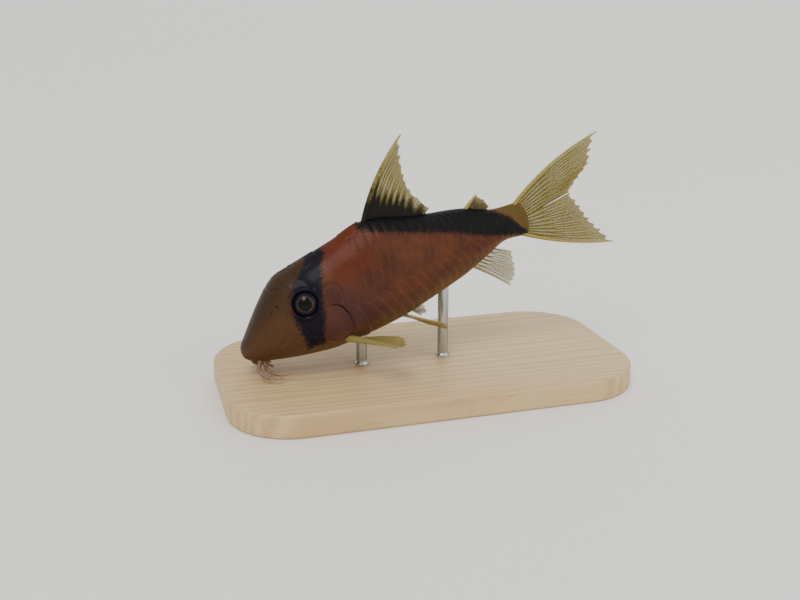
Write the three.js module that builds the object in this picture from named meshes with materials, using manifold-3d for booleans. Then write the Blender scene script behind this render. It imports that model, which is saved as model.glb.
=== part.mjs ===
// Masked corydoras catfish, life size, as a still museum model on a plain display stand.
// Millimetres, +Z up. The snout points to -X, the fish's left side to -Y, and the head is tilted down.
// The origin is the centre of the stand's underside.
import * as THREE from 'three';
import { mergeVertices } from 'three/addons/utils/BufferGeometryUtils.js';
import Module from 'manifold-3d';

const wasm = await Module();
wasm.setup();

// Driving sizes
const LENGTH = 48; // snout tip to the root of the tail fin
const NOSE_DOWN = THREE.MathUtils.degToRad(20.7);
const GAP = 0.3; // between pieces that touch
const THROAT_CLEARANCE = 3.3; // from the stand's top to the lowest skin of the throat

// Profiles along the body as [station, value], in shares of LENGTH
const BACK = [[0, -0.012], [0.006, 0.008], [0.03, 0.034], [0.1, 0.106], [0.15, 0.15], [0.2, 0.179],
  [0.27, 0.187], [0.4, 0.208], [0.5, 0.225], [0.69, 0.165], [0.82, 0.128], [0.93, 0.078], [1, 0.068]];
const BELLY = [[0, -0.012], [0.006, -0.03], [0.03, -0.046], [0.1, -0.068], [0.2, -0.091], [0.3, -0.105],
  [0.5, -0.11], [0.62, -0.1], [0.75, -0.085], [0.85, -0.058], [0.93, -0.036], [1, -0.05]];
const HALF_WIDTH = [[0, 0], [0.006, 0.026], [0.03, 0.055], [0.1, 0.086], [0.2, 0.112], [0.3, 0.127],
  [0.42, 0.125], [0.56, 0.108], [0.7, 0.082], [0.85, 0.051], [0.95, 0.028], [1, 0.014]];
const WIDEST = [[0, -0.012], [0.1, -0.005], [0.3, 0.002], [0.5, 0.01], [0.75, 0.02], [1, 0.012]];
// How square each section is above and below its widest level: 2 is an ellipse
const UPPER_POWER = [[0, 2], [0.2, 2.2], [0.35, 1.85], [0.5, 1.6], [0.75, 1.75], [1, 2]];
const LOWER_POWER = [[0, 2], [0.1, 2.5], [0.3, 3], [0.55, 2.8], [0.8, 2.1], [1, 2]];
const STATIONS = [0.002, 0.008, 0.02, 0.04, 0.07, 0.1, 0.14, 0.18, 0.22, 0.27, 0.32, 0.37, 0.43, 0.5,
  0.57, 0.64, 0.7, 0.76, 0.82, 0.88, 0.94, 1];
const POINTS_PER_SIDE = 13;

// Cuts that part the body into head, trunk and tail: station on the axis and lean
const HEAD_CUT = { station: 0.345, lean: -0.12 };
const TAIL_CUT = { station: 0.76, lean: 0.15 };
const CUT_LEVEL = 0.04;

// Scutes, in two rows down each side
const SCUTE_SINK = 0.55;
const SCUTE_LOW = 0.05; // rise of a scute's front edge, next to the one ahead of it
const SCUTE_HIGH = 0.28; // rise of its free rear edge
const SCUTE_FACE = 0.93; // share of the pitch that the plate takes, the rest is its step
const SCUTE_BOW = 0.45; // of the pitch
const SCUTE_SHORTENING = 0.93; // below 1, plates get shorter towards the tail
const UPPER_ROW = { count: 22, from: 0.385, to: 0.985, start: 0.04, end: 0.468, lean: 0.05, steps: 5 };
const LOWER_ROW = { count: 20, from: 0.385, to: 0.985, start: 0.8, end: 0.452, lean: 0.035, steps: 4 };
const ROW_NARROWING = 0.05;

// Bony plates: middle station and turn, half spans of both, and the rise of the front and rear edge
const GILL_COVER = { station: 0.306, turn: 0.53, length: 0.045, spread: 0.125, front: 0.1, rear: 0.34 };
const SHOULDER = { station: 0.376, turn: 0.62, length: 0.022, spread: 0.17, front: 0.2, rear: 0.34 };
const CROWN = { station: 0.285, length: 0.05, spread: 0.13, front: 0.12, rear: 0.26 };
const NAPE = { station: 0.46, length: 0.04, spread: 0.12, front: 0.16, rear: 0.32 };
const COVER_DEPTH = 0.7;
const POCKET_HEIGHT = 2;

// Eyes, nostrils and mouth
const EYE_RADIUS = 2.35;
const EYE_SUNK = 1.7; // the ball's centre under the skin
const EYE_AT = { station: 0.24, turn: 0.345 };
const EYE_RIM = { radius: 2.12, tube: 0.3 };
const NOSTRILS = [
  { station: 0.134, turn: 0.26, radius: 0.26 },
  { station: 0.158, turn: 0.265, radius: 0.32 },
];
const NOSTRIL_RIM = 0.15;
const MOUTH = { station: 0.04, level: -0.05, slant: 0.43, length: 0.78, width: 1.44, lip: 0.42 };

// Feelers round the mouth, as [station, out, level] in shares of LENGTH, with their root and tip radii
const FEELERS = {
  barbel_upper: {
    route: [[0.045, 0.045, -0.04], [0.03, 0.075, -0.06], [0.05, 0.1, -0.088], [0.09, 0.11, -0.1]],
    root: 0.4,
    tip: 0.16,
  },
  barbel_lower: {
    route: [[0.055, 0.04, -0.045], [0.055, 0.062, -0.075], [0.085, 0.08, -0.1], [0.125, 0.085, -0.105]],
    root: 0.38,
    tip: 0.15,
  },
  barbel_chin: {
    route: [[0.06, 0.014, -0.045], [0.06, 0.018, -0.068], [0.075, 0.022, -0.09]],
    root: 0.36,
    tip: 0.18,
  },
};

// Fins: the line of their roots and the outline of their ray tips, in shares of LENGTH.
// spine and ridge are the thickness of the first ray and of the others at the root, in mm.
// Rays bow sideways, and ease is how much straighter the last one is.
const MEMBRANE = { root: 0.55, tip: 0.3, reach: 0.965 };
const RAY_TIP = 0.42;
const RAY_HALF_WIDTH = 0.16; // of the space between two rays
const MEDIAN_FINS = {
  dorsal_fin: {
    base: [[0.499, 0.19], [0.59, 0.17], [0.68, 0.13]],
    tips: [[0.724, 0.425], [0.7, 0.37], [0.688, 0.31], [0.69, 0.255], [0.728, 0.172]],
    rays: 9, steps: 5, bow: -0.25, spine: 1.2, ridge: 0.8,
  },
  adipose_fin: {
    base: [[0.818, 0.1], [0.855, 0.085], [0.885, 0.07]],
    tips: [[0.888, 0.147], [0.905, 0.122], [0.915, 0.095]],
    rays: 3, steps: 3, bow: -0.2, spine: 1, ridge: 0.6,
  },
  caudal_fin_upper: {
    base: [[0.995, 0.062], [1.006, 0.038], [1.006, 0.0105]],
    tips: [[1.342, 0.172], [1.303, 0.13], [1.283, 0.09], [1.24, 0.058], [1.19, 0.03]],
    rays: 9, steps: 5, bow: -0.24, ease: 1, spine: 0.9, ridge: 0.75,
  },
  caudal_fin_lower: {
    base: [[0.995, -0.044], [1.006, -0.022], [1.006, 0.0035]],
    tips: [[1.285, -0.203], [1.26, -0.15], [1.232, -0.095], [1.21, -0.04], [1.19, 0.012]],
    rays: 9, steps: 5, bow: 0.16, ease: 1, spine: 0.9, ridge: 0.75,
  },
  anal_fin: {
    base: [[0.775, -0.05], [0.81, -0.045], [0.855, -0.03]],
    tips: [[0.9, -0.195], [0.925, -0.165], [0.935, -0.13], [0.94, -0.085]],
    rays: 7, steps: 4, bow: -0.08, spine: 0.8, ridge: 0.7,
  },
};
// Paired fins are laid out flat from their root, then turned about it: roll, pitch and yaw in radians
const PAIRED_FINS = {
  pectoral_fin: {
    base: [[0, 0], [0.02, -0.002], [0.035, -0.008]],
    tips: [[0.2, 0.075], [0.205, 0.02], [0.185, -0.03], [0.13, -0.06]],
    rays: 8, steps: 4, bow: 0.1, spine: 1.3, ridge: 0.7,
    root: [0.318, 0.105, -0.07], turn: { roll: 1.25, pitch: 0.22, yaw: -0.7 },
  },
  pelvic_fin: {
    base: [[0, 0], [0.018, 0], [0.04, 0]],
    tips: [[0.16, 0.045], [0.168, 0.01], [0.155, -0.03], [0.115, -0.055]],
    rays: 6, steps: 4, bow: 0.06, spine: 0.85, ridge: 0.7,
    root: [0.5, 0.062, -0.085], turn: { roll: 0.95, pitch: 0.62, yaw: -0.4 },
  },
};

// Stand
const BASE = { length: 64, width: 34, height: 3.6, corner: 10, bevel: 0.5 };
const RODS = { stand_rod_front: 0.4, stand_rod_rear: 0.7 }; // stations of the belly they hold
const ROD_RADIUS = 0.85;

const mm = (share) => share * LENGTH;
const { lerp, clamp } = THREE.MathUtils;
const moved = (x, y, z) => new THREE.Matrix4().makeTranslation(x, y, z);

// A smooth value along a list of [station, value] knots, with no overshoot between them
function along(knots, station) {
  const slopes = knots.slice(1).map((knot, i) => (knot[1] - knots[i][1]) / (knot[0] - knots[i][0]));
  const tangent = (i) => {
    const before = slopes[Math.max(i - 1, 0)];
    const after = slopes[Math.min(i, slopes.length - 1)];
    return before * after <= 0 ? 0 : 2 / (1 / before + 1 / after);
  };
  const at = clamp(station, knots[0][0], knots.at(-1)[0]);
  const i = Math.max(knots.findIndex((knot) => at <= knot[0]), 1) - 1;
  const span = knots[i + 1][0] - knots[i][0];
  const s = (at - knots[i][0]) / span;
  const blend = s * s * (3 - 2 * s);
  const curve = tangent(i) * s * (1 - s) * (1 - s) - tangent(i + 1) * s * s * (1 - s);
  return lerp(knots[i][1], knots[i + 1][1], blend) + span * curve;
}

// A point of the bare body: turn runs from 0 on the back to 1 on the belly, side is -1 left or 1 right
function bodyPoint(station, turn, side) {
  const angle = turn * Math.PI;
  const upper = turn < 0.5;
  const power = along(upper ? UPPER_POWER : LOWER_POWER, station);
  const widest = along(WIDEST, station);
  const edge = along(upper ? BACK : BELLY, station);
  const out = along(HALF_WIDTH, station) * Math.abs(Math.sin(angle)) ** (2 / power);
  const level = widest + (edge - widest) * Math.abs(Math.cos(angle)) ** (2 / power);
  return new THREE.Vector3(mm(station), side * mm(out), mm(level));
}

function bodyNormal(station, turn, side) {
  const step = 0.004;
  const at = clamp(station, step * 1.5, 1 - step);
  const fore = bodyPoint(at - step, turn, side);
  const aft = bodyPoint(at + step, turn, side);
  const above = bodyPoint(at, clamp(turn - step, 0.001, 0.999), side);
  const below = bodyPoint(at, clamp(turn + step, 0.001, 0.999), side);
  const normal = aft.sub(fore).cross(below.sub(above)).multiplyScalar(side);
  if (turn === 0 || turn === 1) {
    normal.y = 0;
  }
  return normal.normalize();
}

const skinPoint = (station, turn, side, lift) => (
  bodyPoint(station, turn, side).addScaledVector(bodyNormal(station, turn, side), lift));

// Closed solids from geometries, and back
function facingOut(geometry) {
  const position = geometry.attributes.position;
  const index = geometry.index.array;
  const corners = [new THREE.Vector3(), new THREE.Vector3(), new THREE.Vector3()];
  let volume = 0;
  for (let i = 0; i < index.length; i += 3) {
    corners.forEach((corner, c) => corner.fromBufferAttribute(position, index[i + c]));
    volume += corners[0].dot(corners[1].cross(corners[2]));
  }
  for (let i = 0; volume < 0 && i < index.length; i += 3) {
    [index[i], index[i + 1]] = [index[i + 1], index[i]];
  }
  return geometry;
}

function solid(geometry) {
  const bare = new THREE.BufferGeometry();
  bare.setAttribute('position', geometry.attributes.position);
  bare.setIndex(geometry.index);
  const merged = facingOut(mergeVertices(bare, 1e-4));
  return new wasm.Manifold(new wasm.Mesh({
    numProp: 3,
    vertProperties: new Float32Array(merged.attributes.position.array),
    triVerts: new Uint32Array(merged.index.array),
  }));
}

function geometryOf(piece) {
  const mesh = piece.getMesh();
  const geometry = new THREE.BufferGeometry();
  geometry.setAttribute('position', new THREE.BufferAttribute(new Float32Array(mesh.vertProperties), 3));
  geometry.setIndex(new THREE.BufferAttribute(new Uint32Array(mesh.triVerts), 1));
  return geometry;
}

const join = (solids) => solids.reduce((sum, next) => sum.add(next));
const bySize = (piece) => piece.decompose().sort((a, b) => b.volume() - a.volume());
const largest = (piece) => bySize(piece)[0];

function fromPoints(points, triangles) {
  const geometry = new THREE.BufferGeometry().setFromPoints(points);
  geometry.setIndex(triangles.flat());
  return solid(geometry);
}

// A closed skin over rings of points, with both ends capped round their middles
function loft(rings) {
  const count = rings[0].length;
  const points = rings.flat();
  const triangles = [];
  const pairs = (ring) => Array.from({ length: count }, (_, i) => (
    [ring * count + i, ring * count + ((i + 1) % count)]));
  for (let ring = 0; ring + 1 < rings.length; ring += 1) {
    pairs(ring).forEach(([a, b]) => triangles.push([a, b, b + count], [a, b + count, a + count]));
  }
  const cap = (ring, reversed) => {
    const middle = rings[ring].reduce((sum, p) => sum.add(p), new THREE.Vector3()).divideScalar(count);
    points.push(middle);
    const tip = points.length - 1;
    pairs(ring).forEach(([a, b]) => triangles.push(reversed ? [b, a, tip] : [a, b, tip]));
  };
  cap(0, true);
  cap(rings.length - 1, false);
  return fromPoints(points, triangles);
}

// A closed slab between two grids of points, split into triangles alike on both faces
function slab(outer, inner) {
  const rows = outer.length;
  const columns = outer[0].length;
  const under = rows * columns;
  const triangles = [];
  for (let r = 0; r + 1 < rows; r += 1) {
    for (let c = 0; c + 1 < columns; c += 1) {
      const a = r * columns + c;
      const [b, d, e] = [a + 1, a + columns + 1, a + columns];
      triangles.push([a, b, d], [a, d, e]);
      triangles.push([under + a, under + d, under + b], [under + a, under + e, under + d]);
    }
  }
  const wall = (a, b) => triangles.push([a, b, under + b], [a, under + b, under + a]);
  for (let c = 0; c + 1 < columns; c += 1) {
    wall(c + 1, c);
    wall((rows - 1) * columns + c, (rows - 1) * columns + c + 1);
  }
  for (let r = 0; r + 1 < rows; r += 1) {
    wall(r * columns, (r + 1) * columns);
    wall((r + 2) * columns - 1, (r + 1) * columns - 1);
  }
  return fromPoints([...outer.flat(), ...inner.flat()], triangles);
}

const gridOf = (rows, columns, spotAt) => Array.from({ length: rows + 1 }, (_, r) => (
  Array.from({ length: columns + 1 }, (__, c) => spotAt(r / rows, c / columns))));

// A closed sheet laid on the body through a grid of spots, and sunk under its surface
function sheet(spots, lift, sink) {
  const face = (height) => spots.map((row) => row.map((spot) => (
    skinPoint(spot.station, spot.turn, spot.side, height(spot)))));
  return slab(face((spot) => spot.rise + lift), face(() => -sink));
}

// The bare body, lifted all round by a clearance
function bareBody(lift) {
  const half = (station, side) => Array.from({ length: POINTS_PER_SIDE }, (_, i) => (
    skinPoint(station, side < 0 ? i / POINTS_PER_SIDE : 1 - i / POINTS_PER_SIDE, side, lift)));
  return loft(STATIONS.map((station) => [...half(station, -1), ...half(station, 1)]));
}

// A row of scutes: each rises to its free rear edge and steps down to the front of the next.
// They get shorter towards the tail, bow backwards and lean with the row's far end.
function scuteRow(row, side, lift) {
  const edges = [];
  for (let k = 0; k < row.count; k += 1) {
    edges.push({ place: k, rise: SCUTE_LOW }, { place: k + SCUTE_FACE, rise: SCUTE_HIGH });
  }
  edges.push({ place: row.count, rise: SCUTE_LOW });
  const pitch = (row.to - row.from) / row.count;
  const spots = Array.from({ length: row.steps + 1 }, (_, h) => edges.map(({ place, rise }) => {
    const height = h / row.steps;
    const share = (place / row.count) ** SCUTE_SHORTENING;
    const bow = SCUTE_BOW * pitch * Math.sin(Math.PI * height);
    const lean = row.lean * (1 - height) * (1 - share * share);
    const narrowing = ROW_NARROWING * share * Math.sign(0.5 - row.start);
    return {
      station: lerp(row.from, row.to, share) + bow + lean,
      turn: lerp(row.start + narrowing, row.end, height),
      side,
      rise,
    };
  }));
  return sheet(spots, lift, SCUTE_SINK);
}

// A round-cornered plate on one side, widened all round by a margin
function roundPlate(spec, side, lift, sink, margin = 0) {
  const length = spec.length + margin / LENGTH;
  const spread = spec.spread + margin / mm(0.4);
  return sheet(gridOf(5, 5, (u, v) => {
    const [a, b] = [2 * u - 1, 2 * v - 1];
    const across = a * Math.sqrt(1 - (b * b) / 2);
    const back = b * Math.sqrt(1 - (a * a) / 2);
    const rise = lerp(spec.front, spec.rear, (back + 1) / 2);
    return { station: spec.station + length * back, turn: spec.turn + spread * across, side, rise };
  }), lift, sink);
}

// A plate that straddles the back
function backPlate(spec, lift) {
  return sheet(gridOf(6, 4, (u, v) => {
    const [a, b] = [2 * u - 1, 2 * v - 1];
    const taper = Math.sqrt(1 - 0.75 * b * b);
    const rise = lerp(spec.front, spec.rear, v) * (1 - 0.4 * Math.abs(a));
    const turn = spec.spread * taper * Math.abs(a);
    return { station: spec.station + spec.length * b, turn, side: a < 0 ? -1 : 1, rise };
  }), lift, SCUTE_SINK);
}

function wholeBody(lift) {
  const pieces = [bareBody(lift), backPlate(CROWN, lift), backPlate(NAPE, lift)];
  [-1, 1].forEach((side) => {
    pieces.push(scuteRow(UPPER_ROW, side, lift), scuteRow(LOWER_ROW, side, lift));
    pieces.push(roundPlate(SHOULDER, side, lift, SCUTE_SINK));
  });
  return join(pieces);
}

// A thin slice across the body, which parts it
function slice(cut) {
  const box = new THREE.BoxGeometry(GAP, mm(1), mm(1));
  box.applyMatrix4(new THREE.Matrix4().makeRotationY(cut.lean));
  return solid(box.applyMatrix4(moved(mm(cut.station), 0, mm(CUT_LEVEL))));
}

function parted(body) {
  const pieces = bySize(body.subtract(slice(HEAD_CUT)).subtract(slice(TAIL_CUT))).slice(0, 3);
  return pieces.sort((a, b) => a.boundingBox().min[0] - b.boundingBox().min[0]);
}

// A fin: rays fan from the line of roots to the outline of tips, with a ridge on both faces for each
function finSlab(fin) {
  const curve = (points) => (
    new THREE.CatmullRomCurve3(points.map(([x, z]) => new THREE.Vector3(x, 0, z))));
  const [roots, tips] = [curve(fin.base), curve(fin.tips)];
  const columns = [];
  for (let k = 0; k < fin.rays; k += 1) {
    const sides = [-RAY_HALF_WIDTH, 0, RAY_HALF_WIDTH].filter((s) => k + s >= 0 && k + s <= fin.rays - 1);
    columns.push(...sides.map((s) => ({ at: (k + s) / (fin.rays - 1), onRay: s === 0, first: k === 0 })));
  }
  const spotOn = ({ at, onRay, first }, s, sign) => {
    const reach = (s / fin.steps) * (onRay ? 1 : MEMBRANE.reach);
    const [root, tip] = [roots.getPoint(at), tips.getPoint(at)];
    const bow = fin.bow * (1 - (fin.ease ?? 0) * at) * reach * (1 - reach);
    const bowed = new THREE.Vector3(tip.z - root.z, 0, root.x - tip.x).multiplyScalar(bow);
    const ridge = lerp(first ? fin.spine : fin.ridge, RAY_TIP, reach);
    const thickness = onRay ? ridge : lerp(MEMBRANE.root, MEMBRANE.tip, reach);
    const point = root.lerp(tip, reach).add(bowed).multiplyScalar(LENGTH);
    point.y = (sign * thickness) / 2;
    return point;
  };
  const face = (sign) => columns.map((column) => (
    Array.from({ length: fin.steps + 1 }, (_, s) => spotOn(column, s, sign))));
  return slab(face(-1), face(1));
}

function pairedFin(fin, side) {
  const geometry = geometryOf(finSlab(fin));
  const { roll, pitch, yaw } = fin.turn;
  const turn = new THREE.Euler(roll, pitch, yaw, 'ZYX');
  geometry.applyMatrix4(new THREE.Matrix4().makeRotationFromEuler(turn));
  geometry.applyMatrix4(moved(mm(fin.root[0]), -mm(fin.root[1]), mm(fin.root[2])));
  return solid(geometry.scale(1, -side, 1));
}

// A feeler that thins to its tip
function feeler({ route, root, tip }, side) {
  const points = route.map(([x, y, z]) => new THREE.Vector3(mm(x), side * mm(y), mm(z)));
  const path = new THREE.CatmullRomCurve3(points);
  const [steps, sides] = [8, 8];
  const frames = path.computeFrenetFrames(steps, false);
  return loft(Array.from({ length: steps + 1 }, (_, i) => Array.from({ length: sides }, (__, j) => {
    const radius = lerp(root, tip, i / steps);
    const angle = (j / sides) * 2 * Math.PI;
    return path.getPointAt(i / steps)
      .addScaledVector(frames.normals[i], radius * Math.cos(angle))
      .addScaledVector(frames.binormals[i], radius * Math.sin(angle));
  })));
}

function ball(centre, radius, rows, columns) {
  return solid(new THREE.SphereGeometry(radius, columns, rows).applyMatrix4(moved(...centre.toArray())));
}

// A ring of flesh lying on the body round a spot
function rim(spot, side, radius, tube, rows, columns) {
  const torus = new THREE.TorusGeometry(radius, tube, rows, columns);
  const normal = bodyNormal(spot.station, spot.turn, side);
  torus.applyQuaternion(new THREE.Quaternion().setFromUnitVectors(new THREE.Vector3(0, 0, 1), normal));
  return solid(torus.applyMatrix4(moved(...bodyPoint(spot.station, spot.turn, side).toArray())));
}

const eyeBall = (side, clearance) => (
  ball(skinPoint(EYE_AT.station, EYE_AT.turn, side, -EYE_SUNK), EYE_RADIUS + clearance, 10, 16));
const eyeRim = (side) => rim(EYE_AT, side, EYE_RIM.radius, EYE_RIM.tube, 5, 16);
const nostrilRim = (nostril, side) => rim(nostril, side, nostril.radius, NOSTRIL_RIM, 4, 8);
const nostrilHole = ({ station, turn, radius }, side) => (
  ball(skinPoint(station, turn, side, radius / 3), radius * 0.8, 4, 8));

// The mouth faces down and forward under the snout: thick lips round a shallow opening
const placeMouth = (geometry) => (
  solid(geometry.applyMatrix4(new THREE.Matrix4().makeRotationY(MOUTH.slant))
    .applyMatrix4(moved(mm(MOUTH.station), 0, mm(MOUTH.level)))));
const lips = () => placeMouth(new THREE.TorusGeometry(1, MOUTH.lip, 6, 16)
  .scale(MOUTH.length, MOUTH.width, 1));
const mouthOpening = () => placeMouth(new THREE.SphereGeometry(1, 12, 8)
  .scale(MOUTH.length - MOUTH.lip, MOUTH.width - MOUTH.lip, 2 * MOUTH.lip));

// The stand's base: a plate with rounded corners and bevelled edges
function standBase({ length, width, height, corner, bevel }) {
  const [x, y] = [length / 2 - bevel - corner, width / 2 - bevel - corner];
  const outline = new THREE.Shape();
  [[x, y], [-x, y], [-x, -y], [x, -y]].forEach(([cx, cy], quarter) => (
    outline.absarc(cx, cy, corner, quarter * 0.5 * Math.PI, (quarter + 1) * 0.5 * Math.PI)));
  const block = new THREE.ExtrudeGeometry(outline, {
    depth: height - 2 * bevel, bevelThickness: bevel, bevelSize: bevel, bevelSegments: 1, curveSegments: 8,
  });
  block.deleteAttribute('normal');
  block.deleteAttribute('uv');
  return solid(mergeVertices(block.applyMatrix4(moved(0, 0, bevel)), 1e-4));
}

// Materials
const paint = (color, roughness, metalness = 0) => (
  new THREE.MeshStandardMaterial({ color, roughness, metalness }));
const skin = paint('#96543c', 0.4);
const feelerSkin = paint('#a97c62', 0.45);
const finMembrane = paint('#b3a568', 0.45);
const cornea = paint('#14121a', 0.12);
const paleWood = paint('#cdb58c', 0.55);
const steel = paint('#b9bbbd', 0.3, 1);

function add(group, name, piece, material) {
  const mesh = new THREE.Mesh(geometryOf(piece), material);
  mesh.name = name;
  group.add(mesh);
}

// The fish, in its own level frame
const fish = new THREE.Group();
const grown = wholeBody(GAP);
const rooted = (piece) => largest(piece.subtract(grown));
let [head, trunk, tail] = parted(wholeBody(0));
head = head.add(lips()).subtract(mouthOpening());
[['left', -1], ['right', 1]].forEach(([word, side]) => {
  const pocket = roundPlate(GILL_COVER, side, POCKET_HEIGHT, COVER_DEPTH + GAP, GAP);
  head = join([head, eyeRim(side), ...NOSTRILS.map((nostril) => nostrilRim(nostril, side))]);
  head = head.subtract(join(NOSTRILS.map((nostril) => nostrilHole(nostril, side))));
  head = head.subtract(eyeBall(side, GAP)).subtract(pocket);
  trunk = trunk.subtract(pocket);
  add(fish, `gill_cover_${word}`, roundPlate(GILL_COVER, side, 0, COVER_DEPTH), skin);
  add(fish, `eye_${word}`, eyeBall(side, 0), cornea);
  Object.entries(FEELERS).forEach(([name, spec]) => (
    add(fish, `${name}_${word}`, rooted(feeler(spec, side)), feelerSkin)));
  Object.entries(PAIRED_FINS).forEach(([name, fin]) => (
    add(fish, `${name}_${word}`, rooted(pairedFin(fin, side)), finMembrane)));
});
add(fish, 'head', largest(head), skin);
add(fish, 'trunk', largest(trunk), skin);
add(fish, 'tail', largest(tail), skin);
Object.entries(MEDIAN_FINS).forEach(([name, fin]) => add(fish, name, rooted(finSlab(fin)), finMembrane));

// The fish leans nose down, centred over the stand between its snout and tail tip
fish.rotation.y = -NOSE_DOWN;
const crossAxis = new THREE.Vector3(0, 1, 0);
const leaned = (x, z) => new THREE.Vector3(mm(x), 0, mm(z)).applyAxisAngle(crossAxis, -NOSE_DOWN);
const throatStation = 0.2;
const throat = leaned(throatStation, along(BELLY, throatStation));
const tailTip = leaned(...MEDIAN_FINS.caudal_fin_upper.tips[0]);
fish.position.set(-tailTip.x / 2, 0, BASE.height + THROAT_CLEARANCE - throat.z);
fish.updateMatrix();

const model = new THREE.Group();
model.add(fish);
add(model, 'stand_base', standBase(BASE), paleWood);
const grownInPlace = solid(geometryOf(grown).applyMatrix4(fish.matrix));
Object.entries(RODS).forEach(([name, station]) => {
  const belly = new THREE.Vector3(mm(station), 0, mm(along(BELLY, station) / 2)).applyMatrix4(fish.matrix);
  const bottom = BASE.height + GAP;
  const rod = new THREE.CylinderGeometry(ROD_RADIUS, ROD_RADIUS, belly.z - bottom, 16).rotateX(Math.PI / 2);
  rod.applyMatrix4(moved(belly.x, 0, (belly.z + bottom) / 2));
  add(model, name, largest(solid(rod).subtract(grownInPlace)), steel);
});

export default model;
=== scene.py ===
"""Masked corydoras catfish, life size, dressed for show on its display stand."""
import math
from functools import partial

import bmesh
import bpy
import numpy as np
from mathutils import Matrix, Vector


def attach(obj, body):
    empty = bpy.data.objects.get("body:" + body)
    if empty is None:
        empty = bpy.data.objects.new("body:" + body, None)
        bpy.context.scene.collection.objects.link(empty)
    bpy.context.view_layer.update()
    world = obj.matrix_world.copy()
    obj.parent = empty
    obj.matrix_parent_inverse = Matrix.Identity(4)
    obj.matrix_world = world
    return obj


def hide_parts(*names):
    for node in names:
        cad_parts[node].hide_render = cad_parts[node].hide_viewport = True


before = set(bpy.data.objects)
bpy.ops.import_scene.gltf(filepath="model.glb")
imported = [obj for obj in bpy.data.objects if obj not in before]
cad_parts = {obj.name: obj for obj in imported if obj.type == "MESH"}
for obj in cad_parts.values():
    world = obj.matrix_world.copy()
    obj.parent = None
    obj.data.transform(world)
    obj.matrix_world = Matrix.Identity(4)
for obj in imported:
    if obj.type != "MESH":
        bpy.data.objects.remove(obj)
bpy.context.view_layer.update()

bl_info = {
    "name": "Masked corydoras model",
    "version": (1, 0, 0),
    "blender": (4, 5, 0),
    "location": "3D Viewport > Sidebar > Corydoras",
    "description": "Builds a life-size corydoras catfish on a plain display stand",
    "category": "Add Mesh",
}

# The body's lines, in shares of its length from snout to tail root: the length is in millimetres
LENGTH = 48.0
NOSE_DOWN = math.radians(20.7)
FISH_PLACE = (-28.670, 0.0, 7.593)
BACK = [(0, -0.012), (0.006, 0.008), (0.03, 0.034), (0.1, 0.106), (0.15, 0.15), (0.2, 0.179),
        (0.27, 0.187), (0.4, 0.208), (0.5, 0.225), (0.69, 0.165), (0.82, 0.128), (0.93, 0.078), (1, 0.068)]
BELLY = [(0, -0.012), (0.006, -0.03), (0.03, -0.046), (0.1, -0.068), (0.2, -0.091), (0.3, -0.105),
         (0.5, -0.11), (0.62, -0.1), (0.75, -0.085), (0.85, -0.058), (0.93, -0.036), (1, -0.05)]
HALF_WIDTH = [(0, 0), (0.006, 0.026), (0.03, 0.055), (0.1, 0.086), (0.2, 0.112), (0.3, 0.127),
              (0.42, 0.125), (0.56, 0.108), (0.7, 0.082), (0.85, 0.051), (0.95, 0.028), (1, 0.014)]
WIDEST = [(0, -0.012), (0.1, -0.005), (0.3, 0.002), (0.5, 0.01), (0.75, 0.02), (1, 0.012)]
UPPER_POWER = [(0, 2), (0.2, 2.2), (0.35, 1.85), (0.5, 1.6), (0.75, 1.75), (1, 2)]
LOWER_POWER = [(0, 2), (0.1, 2.5), (0.3, 3), (0.55, 2.8), (0.8, 2.1), (1, 2)]
# The skin's first ring, and the snout's share of the rings, which stand closer there
SNOUT_RING, SNOUT_SHARE, SNOUT_POWER = 0.0012, 0.05, 0.6
# The share over which the skin's slope is measured, and how near it comes to a pole
STEP, POLE = 0.004, 0.001
CAP = {"rings": 7, "level": 0.01, "half_height": 3.2, "least": 0.35, "bulge": 0.9, "flesh": 0.25,
       "tip": 0.05, "flatten": 0.04}

# Rows of scutes: a scute's columns run from its tucked front to its free rear edge
FROM, TO = 0.385, 0.985
UPPER_ROW = {"count": 22, "start": 0.04, "end": 0.468, "lean": 0.05}
LOWER_ROW = {"count": 20, "start": 0.8, "end": 0.452, "lean": 0.035}
SHORTENING = 0.93
ROW_NARROWING = 0.05
BOW = 0.45
SCUTE = {"columns": [0, 0.15, 0.3, 0.5, 0.7, 0.85, 0.93, 0.97, 1], "rows": 21, "overlap": 0.22,
         "rounding": 0.3, "corner": 7, "front": -0.06, "edge_drop": 0.07, "settled": 0.75, "settle": 9,
         "under": -0.2}

# Bony plates of the head and shoulder: middle and half spans, in stations and turns
GILL_COVER = {"station": 0.306, "turn": 0.53, "length": 0.045, "spread": 0.125, "under": -0.35,
              "hinge": 0.02, "free": 0.1, "dome": 0.07, "rim": 0.16, "ridges": 60, "ridge": 0.012,
              "grid": (41, 37)}
SHOULDER = {"station": 0.376, "turn": 0.62, "length": 0.022, "spread": 0.17, "rise": 0.22, "slope": 5.0}
GILL_POCKET = 0.3
GROOVE = {"depth": 0.16, "width": 0.16}
CROWN = {"station": 0.285, "length": 0.05, "spread": 0.13, "front": 0.12, "rear": 0.26}
NAPE = {"station": 0.46, "length": 0.04, "spread": 0.12, "front": 0.16, "rear": 0.32}
# How much of its rise a plate on the back keeps, and how it flattens aside and narrows to its ends
KEPT, FLATTENING, NARROWING = 0.7, 0.4, 0.75

EYE = {"radius": 2.35, "sunk": 1.7, "cornea": 0.06, "cornea_angle": 0.45, "rings": 56, "columns": 72}
EYE_AT = (0.24, 0.345)
ORBIT = {"radius": 2.12, "rim": 0.34, "rim_width": 0.26, "depth": 1.3, "floor": 1.55, "wall": 1.95}
# The brow over the eye and the hollow in front of it: station, turn, rise and width
SWELLS = [(0.235, 0.25, 0.16, 1.3), (0.19, 0.4, -0.12, 1.2)]
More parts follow.
